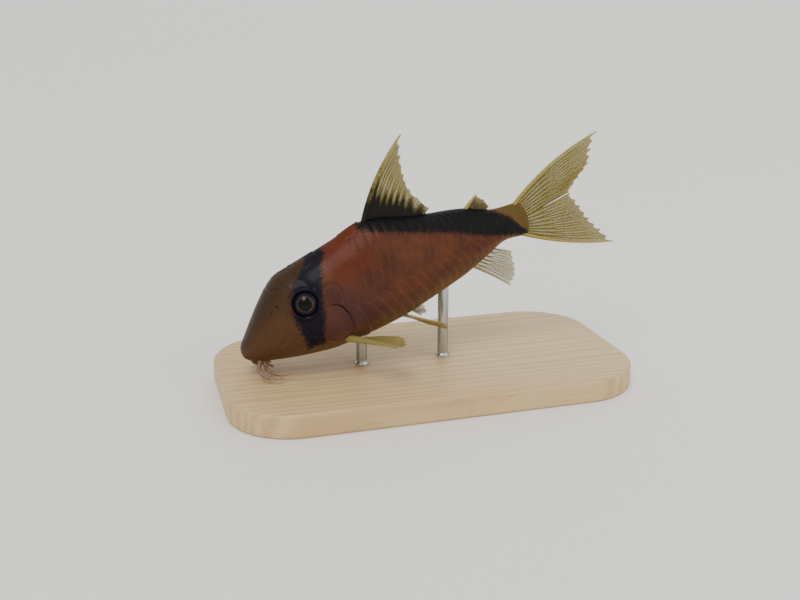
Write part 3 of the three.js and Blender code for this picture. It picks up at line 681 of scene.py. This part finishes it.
def oiled_maple(look, add, place):
    """Oiled maple: pale, with fine growth lines along the plank and short dark flecks."""
    # Growth lines about 1.6 mm apart, drawn out 14 times along the plank
    drawn = add("Mapping", {"Vector": place, "Scale": (0.07, 1.0, 0.5), "Location": (0.003, 0.02, 0)})
    warp = add("TexNoise", {"Vector": drawn, "Scale": per(11.1), "Detail": 3.0})
    sheet = add("SeparateXYZ", {0: drawn}).outputs["Y"]
    lines = add("Math", {0: warp, 1: 0.012, 2: sheet}, operation="MULTIPLY_ADD")
    lines = add("Math", {0: lines, 1: math.tau * per(1.611)}, operation="MULTIPLY")
    lines = add("Math", {0: lines}, operation="SINE")
    ring = add("MapRange", {"Value": lines, "From Min": -1.0, "From Max": 1.0, "To Max": 0.55},
               interpolation_type="SMOOTHSTEP")
    fleck = add("TexNoise", {"Vector": drawn, "Scale": per(0.385), "Detail": 2.0, "Roughness": 0.7})
    flecks = add("MapRange", {"Value": fleck, "From Min": 0.6, "From Max": 0.75, "To Max": 0.5})
    colour = add("Mix", {"Factor": ring, "A": look.wood, "B": look.wood_line}, data_type="RGBA")
    colour = add("Mix", {"Factor": flecks, "A": colour, "B": look.wood_fleck}, data_type="RGBA")
    gloss = add("MapRange", {"Value": fleck, "To Min": 0.38, "To Max": 0.55})
    bump = add("Bump", {"Strength": 0.25, "Distance": 0.00004, "Height": fleck})
    return {"Base Color": colour, "Roughness": gloss, "Normal": bump}


def brushed_steel(look, add, place):
    """Brushed stainless steel rod: fine lines along the rod that stretch the highlight across it."""
    # Brush lines 0.08 mm apart and 30 times as long
    drawn = add("Mapping", {"Vector": place, "Scale": (1.0, 1.0, 0.033)})
    brush = add("TexNoise", {"Vector": drawn, "Scale": per(0.0833), "Detail": 3.0})
    colour = add("Mix", {"Factor": brush, "A": look.steel_dark, "B": look.steel}, data_type="RGBA")
    gloss = add("MapRange", {"Value": brush, "To Min": 0.2, "To Max": 0.4})
    bump = add("Bump", {"Strength": 0.15, "Distance": 0.00001, "Height": brush})
    return {"Base Color": colour, "Roughness": gloss, "Normal": bump, "Metallic": 1.0}


def matt_paint(look, add, place):
    """Pale matt paint on a flat board: a very faint roller texture."""
    # Roller marks 1.1 mm wide
    roller = add("TexNoise", {"Vector": place, "Scale": per(1.11), "Detail": 2.0})
    colour = add("Mix", {"Factor": roller, "A": look.floor, "B": look.floor_low}, data_type="RGBA")
    bump = add("Bump", {"Strength": 0.08, "Distance": 0.00005, "Height": roller})
    return {"Base Color": colour, "Normal": bump, "Roughness": 0.75}


# Each finish with its recipe; a fin's has its pale and deep colours, its rays and how solid it is
FINISHES = {
    "wet_fish_skin": (wet_fish_skin,), "wet_eye": (wet_eye,), "moist_feeler_skin": (moist_feeler_skin,),
    "fin_web": (fin_tissue, "web", "web_deep", False, 0.6),
    "clear_fin_web": (fin_tissue, "clear_fin", "web_deep", False, 0.4),
    "fin_rays": (fin_tissue, "ray", "ray_root", True, 0.9),
    "clear_fin_rays": (fin_tissue, "clear_fin", "ray_root", True, 0.7),
    "wet_mouth_lining": (wet_mouth_lining,), "oiled_maple": (oiled_maple,),
    "brushed_steel": (brushed_steel,), "matt_paint": (matt_paint,),
}


def material(name):
    """The named finish, made the first time that it is asked for."""
    made = bpy.data.materials.get(name)
    if made is None:
        made = bpy.data.materials.new(name)
        made.use_nodes = True
        tree = made.node_tree
        tree.nodes.clear()
        add = partial(node, tree)
        shader = add("BsdfPrincipled")
        add("OutputMaterial", {"Surface": shader})
        recipe, *choices = FINISHES[name]
        place = add("TexCoord").outputs["Object"]
        fill(tree, shader, recipe(bpy.context.scene.corydoras_look, add, place, *choices))
    return made


# What a user may change

def tint(name, description, code):
    """A colour property."""
    return bpy.props.FloatVectorProperty(name=name, description=description, default=linear(code), size=4,
                                         min=0, max=1, subtype="COLOR")


def number(name, description, default, low, high, **more):
    """A count, size or strength property."""
    kind = bpy.props.IntProperty if isinstance(default, int) else bpy.props.FloatProperty
    return kind(name=name, description=description, default=default, min=low, max=high, **more)


class CorydorasLook(bpy.types.PropertyGroup):
    """Colours of the model and its stand."""
    flank: tint("Flank", "Coppery ground of the sides", "#59301d")
    flank_dark: tint("Flank shade", "Darker clouds in the sides", "#442419")
    head: tint("Head", "Tan of the snout and head", "#4b321d")
    # Painted shade: a darker top of the head, set against the light from above
    crown: tint("Crown", "Dark top of the head", "#2a1f15")
    # Painted sheen: the pinkish violet behind the head stands in for the skin's sheen
    flush: tint("Painted sheen", "Pinkish violet behind the head", "#3d2329")
    nape: tint("Nape", "Orange patch before the dorsal fin", "#571f0b")
    belly: tint("Belly", "Pale underside", "#685036")
    rump: tint("Rump", "Tan over the tail root", "#57451d")
    edge: tint("Scute edge", "Free edges of the scutes", "#6f402a")
    speck: tint("Specks", "Fine dark specks of the skin", "#21130f")
    mask: tint("Mask", "Band through the eye", "#0a0716")
    stripe: tint("Stripe", "Band from the dorsal fin to the tail", "#08090d")
    pupil: tint("Pupil", "Pupil of the eye", "#030306")
    ring: tint("Iris ring", "Thin copper ring round the pupil", "#5b3a28")
    iris: tint("Iris", "Outer iris", "#15121f")
    white: tint("Eye white", "Ball of the eye out of sight", "#1c181f")
    feeler: tint("Feeler", "Skin of the feelers", "#6c4c38")
    feeler_tip: tint("Feeler tip", "Tips of the feelers", "#94785f")
    mouth: tint("Mouth", "Lining of the mouth", "#5a3532")
    ray: tint("Ray", "Fin rays", "#b9ac5e")
    ray_root: tint("Ray root", "Fin rays where they are amber", "#8c7b2f")
    clear_fin: tint("Clear fin", "Paler fins under the body", "#97894f")
    web: tint("Web", "Web of the fins", "#8b7e2e")
    web_deep: tint("Web shade", "Web where it is amber", "#68581a")
    wood: tint("Wood", "Maple of the base", "#c9ac7c")
    wood_line: tint("Growth line", "Growth lines of the maple", "#b38f5e")
    wood_fleck: tint("Fleck", "Short flecks in the maple", "#86623e")
    steel: tint("Steel", "Bright steel", "#c8cacc")
    steel_dark: tint("Steel shade", "Steel between the brush lines", "#9a9da0")
    floor: tint("Floor", "Floor", "#efeeea")
    floor_low: tint("Floor shade", "Hollows of the floor's paint", "#e8e6e1")
    room: tint("Room", "Walls of the room", "#fbfbfa")


class CorydorasSizes(bpy.types.PropertyGroup):
    """Sizes of the model's fine forms."""
    rings: number("Rings", "Rings of points along the skin", 330, 60, 500)
    half_ring: number("Points per side", "Points from back to belly", 100, 24, 160)
    scute_rise: number("Scute rise", "Height of a scute's free edge, in mm", 0.085, 0.05, 0.4)
    web_root: number("Web at the root", "Thickness of a fin's web, in mm", 0.3, 0.05, 0.6)
    web_tip: number("Web at the tip", "Thickness of a fin's web, in mm", 0.1, 0.05, 0.4)
    ray: number("Ray", "Radius of a ray's strands at the root, in mm", 0.13, 0.05, 0.4)
    rod: number("Rod", "Radius of the stand's rods, in mm", 0.85, 0.5, 1.5)


class CorydorasStage(bpy.types.PropertyGroup):
    """Light of the studio."""
    key: number("Key light", "Strength of the main light from above", 1.7, 0, 20)
    fill: number("Fill light", "Power of the fill light", 0.5, 0, 20, subtype="POWER", unit="POWER")
    back: number("Back light", "Strength of the light from behind", 0.5, 0, 20)
    sky: number("Room", "Strength of the room's light", 0.85, 0, 3)


# Pieces

class CORYDORAS_OT_skin(bpy.types.Operator):
    """One skin over head, trunk and tail, with its sockets, nostrils and plates"""
    bl_idname = "corydoras.skin"
    bl_label = "Skin"

    def execute(self, context):
        sizes = context.scene.corydoras_sizes
        # Rings stand closest together on the snout
        t = np.linspace(0, 1, sizes.rings)
        stations = SNOUT_RING + (1 - SNOUT_RING) * (0.92 * t + 0.08 * t ** 3)
        closer = (np.minimum(t, SNOUT_SHARE) / SNOUT_SHARE) ** SNOUT_POWER
        stations = SNOUT_RING + (stations - SNOUT_RING) * closer
        half = np.linspace(0, 1, sizes.half_ring + 1)
        turn = np.r_[half, half[-2:0:-1]]
        side = np.r_[-np.ones(len(half)), np.ones(len(half) - 2)]
        station, turn = np.meshgrid(stations, turn, indexing="ij")
        side = np.broadcast_to(side, station.shape)
        points = skin_point(station, turn, side, relief(station, turn, side))
        # The rounded end of the tail root
        middle = np.array([LENGTH, 0, CAP["level"] * LENGTH])
        out = points[-1] - middle
        bulge = CAP["least"] + CAP["bulge"] * (1 - (out[:, 2] / CAP["half_height"]) ** 2)
        cap = []
        for share in np.arange(1, CAP["rings"] + 1) / CAP["rings"]:
            lean = share * math.pi / 2
            flesh = CAP["flesh"] + (1 - CAP["flesh"]) * math.cos(lean) if share < 1 else CAP["tip"]
            ring = out * np.array([1, flesh, 1 - CAP["flatten"] * share]) + middle
            ring[:, 0] += bulge * math.sin(lean)
            cap.append(ring)
        rings = np.concatenate([points, np.stack(cap)])
        rows, columns = rings.shape[:2]
        last = (rows - 1) * columns
        faces = grid_faces(rows, columns, closed=True) + [front_face(columns)]
        faces += [[last + i, last + i + 1, last + columns - i - 1, last + (columns - i) % columns]
                  for i in range(sizes.half_ring)]
        made = mesh_object("skin", in_frame(rings), faces, "wet_fish_skin", markings(rings))
        own(tidy(made), "skin", "head", "trunk", "tail")
        return {"FINISHED"}


class CORYDORAS_OT_mouth(bpy.types.Operator):
    """Thick lips round the shallow opening of the mouth"""
    bl_idname = "corydoras.mouth"
    bl_label = "Mouth"

    def execute(self, context):
        turn = np.array(Matrix.Rotation(MOUTH["slant"], 3, "Y")).T
        place = np.array([MOUTH["station"], 0, MOUTH["level"]]) * LENGTH
        u, v = np.meshgrid(*map(circle, MOUTH["grid"]), indexing="ij")
        tube = MOUTH["lip"] * (1 + MOUTH["fold"] * np.sin(MOUTH["folds"] * u))
        out = 1 + tube * np.cos(v)
        lips = np.stack([out * np.cos(u) * MOUTH["length"], out * np.sin(u) * MOUTH["width"],
                         tube * np.sin(v)], -1) @ turn + place
        ring = np.concatenate([lips, lips[:1]])
        values = {**markings(ring), "head": np.ones(ring.shape[:2]), "belly": np.full(ring.shape[:2], 0.6)}
        faces = grid_faces(*ring.shape[:2], closed=True)
        made = mesh_object("lips", in_frame(ring), faces, "wet_fish_skin", values)
        own(tidy(made), "skin")
        rows, columns = MOUTH["lining_grid"]
        r, a = np.meshgrid(np.linspace(MOUTH["lining_hole"], 1, rows), circle(columns), indexing="ij")
        wide = r * MOUTH["lining"]
        dish = np.stack([wide * np.cos(a) * MOUTH["length"], wide * np.sin(a) * MOUTH["width"],
                         MOUTH["top"] - MOUTH["dome"] * r * r], -1) @ turn + place
        faces = grid_faces(rows, columns, closed=True) + [front_face(columns)]
        own(mesh_object("mouth_lining", in_frame(dish), faces, "wet_mouth_lining"), "skin")
        return {"FINISHED"}


class CORYDORAS_OT_scutes(bpy.types.Operator):
    """Two rows of overlapping bony scutes down each side"""
    bl_idname = "corydoras.scutes"
    bl_label = "Scutes"

    def execute(self, context):
        sizes = context.scene.corydoras_sizes
        chance = np.random.default_rng(7)
        for word, side in SIDES:
            parts = [self.scute(row, k, side, sizes.scute_rise, chance.uniform(-1, 1))
                     for row in (LOWER_ROW, UPPER_ROW) for k in range(row["count"])]
            points, faces, values = gathered(parts)
            own(mesh_object(f"scutes_{word}", points, faces, "wet_fish_skin", values), "skin")
        return {"FINISHED"}

    @staticmethod
    def scute(row, k, side, rise, tone):
        """One thin plate: its front is tucked under the one ahead, and its rear edge is free."""
        levels = np.sin(np.linspace(-1, 1, SCUTE["rows"]) * np.pi / 2) / 2 + 0.5
        u, h = np.meshgrid(np.array(SCUTE["columns"]), levels, indexing="ij")
        ends = np.abs(2 * h - 1)
        rounding = SCUTE["rounding"] * ends ** SCUTE["corner"]
        place = k - SCUTE["overlap"] + u * (1 + SCUTE["overlap"] - rounding)
        share = np.clip(place / row["count"], 0, 1) ** SHORTENING
        pitch = (TO - FROM) / row["count"]
        station = FROM + (TO - FROM) * share + BOW * pitch * np.sin(np.pi * h)
        station = station + row["lean"] * (1 - h) * (1 - share * share)
        narrowing = ROW_NARROWING * share * np.sign(0.5 - row["start"])
        turn = row["start"] + narrowing + (row["end"] - row["start"] - narrowing) * h
        lift = SCUTE["front"] + (rise - SCUTE["front"]) * smooth(0, 0.8, u)
        lift = lift - SCUTE["edge_drop"] * smooth(0.9, 1, u)
        lift = lift * (1 - SCUTE["settled"] * ends ** SCUTE["settle"])
        points, faces = slab(skin_point(station, turn, side, lift),
                             skin_point(station, turn, side, SCUTE["under"]))
        edge = np.maximum(smooth(0.8, 0.97, u), smooth(0.93, 1.0, ends)).ravel()
        return in_frame(points), faces, markings(points, np.r_[edge, edge], tone)


class CORYDORAS_OT_gill_covers(bpy.types.Operator):
    """Domed gill covers with a free rear edge"""
    bl_idname = "corydoras.gill_covers"
    bl_label = "Gill covers"

    def execute(self, context):
        a, b = np.meshgrid(*(np.linspace(-1, 1, count) for count in GILL_COVER["grid"]), indexing="ij")
        across, back = a * np.sqrt(1 - b * b / 2), b * np.sqrt(1 - a * a / 2)
        station = GILL_COVER["station"] + GILL_COVER["length"] * back
        turn = GILL_COVER["turn"] + GILL_COVER["spread"] * across
        out = np.sqrt(np.clip(across ** 2 + back ** 2, 0, 1))
        free = smooth(-0.7, 0.3, back)
        rise = GILL_COVER["free"] * free
        lift = GILL_COVER["hinge"] + rise + GILL_COVER["dome"] * (1 - out ** 2)
        lift = lift - (GILL_COVER["rim"] - rise) * smooth(0.86, 1.0, out)
        # Fine ridges fan over the plate from its upper front corner
        fan = np.arctan2(across + 1.2, back + 1.4)
        lift = lift + GILL_COVER["ridge"] * np.sin(fan * GILL_COVER["ridges"]) * smooth(1.0, 0.8, out)
        edge = (smooth(0.9, 1.0, out) * free * 0.7).ravel()
        for word, side in SIDES:
            points, faces = slab(skin_point(station, turn, side, lift),
                                 skin_point(station, turn, side, GILL_COVER["under"]))
            made = mesh_object(f"gill_cover_{word}_flap", in_frame(points), faces, "wet_fish_skin",
                               markings(points, np.r_[edge, edge]))
            own(tidy(made), "skin", f"gill_cover_{word}")
        return {"FINISHED"}


class CORYDORAS_OT_eyes(bpy.types.Operator):
    """Eyes with pupil, iris ring and clear cornea"""
    bl_idname = "corydoras.eyes"
    bl_label = "Eyes"

    def execute(self, context):
        polar, about = np.meshgrid(np.linspace(POLE, np.pi - POLE, EYE["rings"]), circle(EYE["columns"]),
                                   indexing="ij")
        ball = np.stack([np.sin(polar) * np.cos(about), np.sin(polar) * np.sin(about), np.cos(polar)], -1)
        radius = EYE["radius"] - EYE["cornea"] / 2 + EYE["cornea"] * hump(polar, EYE["cornea_angle"])
        for word, side in SIDES:
            centre = skin_point(*EYE_AT, side, -EYE["sunk"])
            axis = Vector(skin_point(*EYE_AT, side, 0.0) - centre).normalized()
            turn = np.array(axis.to_track_quat("Z", "Y").to_matrix())
            points = (ball * radius[..., None]) @ turn.T + centre
            made = mesh_object(f"eyeball_{word}", in_frame(points), turned_faces(*polar.shape), "wet_eye",
                               {"angle": polar})
            own(tidy(made), "eye", f"eye_{word}")
        return {"FINISHED"}


class CORYDORAS_OT_feelers(bpy.types.Operator):
    """Feelers round the mouth"""
    bl_idname = "corydoras.feelers"
    bl_label = "Feelers"

    def execute(self, context):
        run = np.linspace(0, 1, FEELER["steps"])
        rings = 1 + FEELER["ring"] * np.sin(run * FEELER["rings"])
        round_tip = np.sqrt(1 - np.clip(run - FEELER["tip"], 0, 1) / FEELER["tip_length"])
        lines, names = [], []
        for name, (route, root, tip) in FEELERS.items():
            for word, side in SIDES:
                path = even_points(np.array(route) * (LENGTH, side * LENGTH, LENGTH), FEELER["steps"])
                radius = (root + (tip - root) * run ** FEELER["taper"]) * rings * round_tip
                radius = np.maximum(radius, FEELER["least"])
                lines.append((in_frame(path), {"radius": radius, "reach": run}))
                names.append(f"{name}_{word}")
        made = tubes("feelers", lines, "moist_feeler_skin", 16)
        own(made, "barbel_skin", *names)
        return {"FINISHED"}


def fin_point(fin, at, reach):
    """Points of a fin's middle surface in its own flat frame, in millimetres."""
    at, reach = np.broadcast_arrays(np.asarray(at, float), np.asarray(reach, float))
    root, tip = curve_point(fin["base"], at), curve_point(fin["tips"], at)
    arm = tip - root
    bow = fin["bow"] * (1 - fin.get("ease", 0.0) * at) * reach * (1 - reach)
    across = np.stack([arm[..., 1], -arm[..., 0]], -1)
    flat = (root + arm * reach[..., None] + across * bow[..., None]) * LENGTH
    wave = fin["wave"] * np.clip(reach, 0, 1) ** 1.5 * np.sin(at * 7.0 + 2.2 * reach)
    return np.stack([flat[..., 0], wave, flat[..., 1]], -1)


def fin_place(fin, points, side):
    """Turns a paired fin's flat points to their place, or leaves a fin of the middle where it is."""
    if "root" not in fin:
        return points
    roll, pitch, yaw = fin["turn"]
    turn = Matrix.Rotation(yaw, 3, "Z") @ Matrix.Rotation(pitch, 3, "Y") @ Matrix.Rotation(roll, 3, "X")
    x, y, z = fin["root"]
    placed = points @ np.array(turn).T + np.array([x, -y, z]) * LENGTH
    return placed * np.array([1, -side, 1])


def fin_values(name, fin, points, at, reach, web):
    """Where a fin is black, a little further up its web than up its rays, and where it is amber."""
    x, z = points[..., 0] / LENGTH, points[..., 2] / LENGTH
    black = np.full(x.shape, BLACK["none"])
    if name == "dorsal_fin":
        # The spine pales slowly towards its tip, and the web behind it is black further up
        spine = 1 - smooth(0.0, 0.05, at)
        black = (straight(FIN_BLACK, x) - z) * LENGTH * BLACK["fade"]
        black = black - BLACK["between_rays"] * np.cos(2 * np.pi * at * (fin["rays"] - 1)) * (1 - spine)
        if web:
            black = black + BLACK["behind_spine"] * (1 - smooth(0.09, 0.15, at))
        else:
            black = black + (BLACK["spine_foot"] - BLACK["spine_fade"] * reach - black) * spine
    elif name == "adipose_fin":
        black = 1.2 * (1 - reach) - 1.0
    return {"black": black + BLACK["web" if web else "ray"], "reach": reach,
            "amber": fin["amber"] * (1 - 0.45 * np.clip(reach, 0, 1))}


def make_fin(name, fin, side, sizes, clear):
    """A fin's web and its branched rays, as two pieces."""
    full_name = name + {-1: "_left", 1: "_right"}.get(side, "")
    prefix = "clear_" if clear else ""
    gaps = fin["rays"] - 1
    at = np.linspace(0, 1, gaps * COLUMNS_PER_GAP + 1)
    notch = 1 - NOTCH * np.abs(np.sin(np.pi * at * gaps)) ** 0.8 - TEAR * np.sin(at * TEARS) ** 2
    across, share = np.meshgrid(at, np.linspace(WEB_ROOT, 1, WEB_ROWS), indexing="ij")
    reach = share * np.where(share > 0, notch[:, None], 1)
    middle = fin_point(fin, across, reach)
    thick = sizes.web_root + (sizes.web_tip - sizes.web_root) * np.clip(reach, 0, 1)
    aside = thick[..., None] / 2 * np.array([0, 1, 0])
    points, faces = slab(middle - aside, middle + aside)
    placed = fin_place(fin, points, side)
    across, reach = (np.r_[v.ravel(), v.ravel()] for v in (across, reach))
    web = mesh_object(full_name + "_web", in_frame(placed), faces, prefix + "fin_web",
                      fin_values(name, fin, placed, across, reach, True))
    own(tidy(web), "fin", full_name)
    run = np.linspace(RAY_ROOT, 1, RAY_STEPS)
    lines = []
    for k in range(fin["rays"]):
        if k == 0:
            radius = fin["spine"] / 2 * (1 - SPINE_TAPER * np.clip(run, 0, 1))
        else:
            radius = sizes.ray * (CLEAR_RAY if clear else 1) * (1 - RAY_TAPER * np.clip(run, 0, 1))
        for strand in STRANDS if k else [0.0]:
            ways = np.sign(strand), 2 * (abs(strand) - 1) * np.sign(strand)
            apart = sum(way * smooth(start, end, run) * gap for way, (start, end, gap) in zip(ways, FORKS))
            spot = np.clip((k + apart + 0.02 * strand) / gaps, 0, 1)
            edge = np.interp(spot[-1], at, notch)
            long = np.where(run > 0, run * min(1.0, edge + 0.012), run)
            line = fin_place(fin, fin_point(fin, spot, long), side)
            lines.append((in_frame(line), {"radius": radius,
                                           **fin_values(name, fin, line, spot, long, False)}))
    own(tubes(full_name + "_rays", lines, prefix + "fin_rays"), "fin")


class CORYDORAS_OT_median_fins(bpy.types.Operator):
    """Dorsal, adipose, caudal and anal fins"""
    bl_idname = "corydoras.median_fins"
    bl_label = "Middle fins"

    def execute(self, context):
        sizes = context.scene.corydoras_sizes
        for name, fin in MEDIAN_FINS.items():
            make_fin(name, fin, 0, sizes, name == "anal_fin")
        return {"FINISHED"}


class CORYDORAS_OT_paired_fins(bpy.types.Operator):
    """Pectoral and pelvic fins"""
    bl_idname = "corydoras.paired_fins"
    bl_label = "Paired fins"

    def execute(self, context):
        sizes = context.scene.corydoras_sizes
        for name, fin in PAIRED_FINS.items():
            for _, side in SIDES:
                make_fin(name, fin, side, sizes, True)
        return {"FINISHED"}


class CORYDORAS_OT_stand(bpy.types.Operator):
    """The base with its softly rounded edges, and the two rods that hold the fish"""
    bl_idname = "corydoras.stand"
    bl_label = "Stand"

    def execute(self, context):
        sizes = context.scene.corydoras_sizes
        height, corner, bevel = STAND["height"], STAND["corner"], STAND["bevel"]
        x, y = STAND["length"] / 2 - corner, STAND["width"] / 2 - corner
        profile = [(bevel - bevel * math.cos(a), bevel - bevel * math.sin(a))
                   for a in np.linspace(np.pi / 2, 0, BEVEL_STEPS)]
        levels = profile + [(inset, height - up) for inset, up in profile[::-1]]
        grid = np.array([[(cx + (corner - inset) * math.cos(a), cy + (corner - inset) * math.sin(a), level)
                          for quarter, (cx, cy) in enumerate(((x, y), (-x, y), (-x, -y), (x, -y)))
                          for a in np.linspace(quarter, quarter + 1, CORNER_STEPS) * np.pi / 2]
                         for inset, level in levels]) / 1000
        base = mesh_object("base_board", grid, turned_faces(*grid.shape[:2]), "oiled_maple")
        own(tidy(base), "stand_wood", "stand_base")
        a = circle(ROD_SIDES)
        for name, station in RODS.items():
            # The rod ends in the belly, halfway up to the body's axis
            top = in_frame([station * LENGTH, 0, float(along(BELLY, station)) * LENGTH / 2]) * 1000
            rings = [(height + up, sizes.rod + out) for up, out in FLANGE]
            rings += [(h, sizes.rod) for h in np.linspace(height + ROD_START, float(top[2]), ROD_STEPS)]
            rod = np.array([np.stack([top[0] + r * np.cos(a), r * np.sin(a), np.full(ROD_SIDES, h)], -1)
                            for h, r in rings]) / 1000
            faces = turned_faces(*rod.shape[:2])
            piece = mesh_object(name.replace("stand_", "") + "_turned", rod, faces, "brushed_steel")
            own(tidy(piece), "stand_steel", name)
        return {"FINISHED"}


class CORYDORAS_OT_stage(bpy.types.Operator):
    """Floor, soft studio light and the camera at the fish's viewing angle"""
    bl_idname = "corydoras.stage"
    bl_label = "Stage"

    def execute(self, context):
        look, light = context.scene.corydoras_look, context.scene.corydoras_stage
        corners = [(x * FLOOR_SPAN, y * FLOOR_SPAN, 0) for x, y in ((-1, -1), (1, -1), (1, 1), (-1, 1))]
        mesh_object("floor", corners, [(0, 1, 2, 3)], "matt_paint")
        middle = Vector(FISH_MIDDLE) / 1000
        for name, (kind, size, where) in LAMPS.items():
            lamp = bpy.data.lights.new(name, kind)
            lamp.energy = getattr(light, name)
            setattr(lamp, "angle" if kind == "SUN" else "size", size)
            holder = linked(name, lamp)
            holder.location = Vector(where) + middle
            holder.rotation_euler = (middle - holder.location).to_track_quat("-Z", "Y").to_euler()
        world = bpy.data.worlds.new("room")
        world.use_nodes = True
        room = world.node_tree.nodes["Background"]
        fill(world.node_tree, room, {"Color": look.room, "Strength": light.sky})
        context.scene.world = world
        self.camera(context)
        return {"FINISHED"}

    @staticmethod
    def camera(context):
        """The camera stands where the fish's middle falls on its own place in the picture."""
        turn = Matrix.Rotation(-LOOK_ROUND, 3, "Z") @ Matrix.Rotation(math.pi / 2 - LOOK_DOWN, 3, "X")
        aside = (FISH_PIXEL[0] - PICTURE[0] / 2) / FOCAL
        above = (PICTURE[1] / 2 - FISH_PIXEL[1]) / FOCAL
        ray = turn @ Vector((aside, above, -1)).normalized()
        data = bpy.data.cameras.new("camera")
        data.sensor_width, data.lens = SENSOR, SENSOR * FOCAL / PICTURE[0]
        data.clip_start, data.clip_end = 0.005, 20.0
        holder = linked("camera", data)
        place = (Vector(FISH_MIDDLE) - DISTANCE * ray) / 1000
        holder.matrix_world = Matrix.Translation(place) @ turn.to_4x4()
        context.scene.camera = holder


STEPS = (CORYDORAS_OT_skin, CORYDORAS_OT_mouth, CORYDORAS_OT_scutes, CORYDORAS_OT_gill_covers,
         CORYDORAS_OT_eyes, CORYDORAS_OT_feelers, CORYDORAS_OT_median_fins, CORYDORAS_OT_paired_fins,
         CORYDORAS_OT_stand, CORYDORAS_OT_stage)


class CORYDORAS_PT_panel(bpy.types.Panel):
    """Buttons for each piece of the model"""
    bl_idname = "CORYDORAS_PT_panel"
    bl_label = "Corydoras"
    bl_space_type = "VIEW_3D"
    bl_region_type = "UI"
    bl_category = "Corydoras"

    def draw(self, context):
        for step in STEPS:
            self.layout.operator(step.bl_idname)
        for name in GROUPS:
            group, box = getattr(context.scene, name), self.layout.box()
            for key in group.__annotations__:
                box.prop(group, key)


GROUPS = {"corydoras_sizes": CorydorasSizes, "corydoras_stage": CorydorasStage,
          "corydoras_look": CorydorasLook}
CLASSES = (*GROUPS.values(), *STEPS, CORYDORAS_PT_panel)


def register():
    """Makes the settings, the operators and the panel known."""
    for item in CLASSES:
        bpy.utils.register_class(item)
    for name, group in GROUPS.items():
        setattr(bpy.types.Scene, name, bpy.props.PointerProperty(type=group))


def unregister():
    """Takes them out again."""
    for name in GROUPS:
        delattr(bpy.types.Scene, name)
    for item in reversed(CLASSES):
        bpy.utils.unregister_class(item)


def main():
    """Builds every piece and the stage in order."""
    register()
    for step in STEPS:
        getattr(bpy.ops.corydoras, step.bl_idname.partition(".")[2])()


if __name__ == "__main__":
    main()
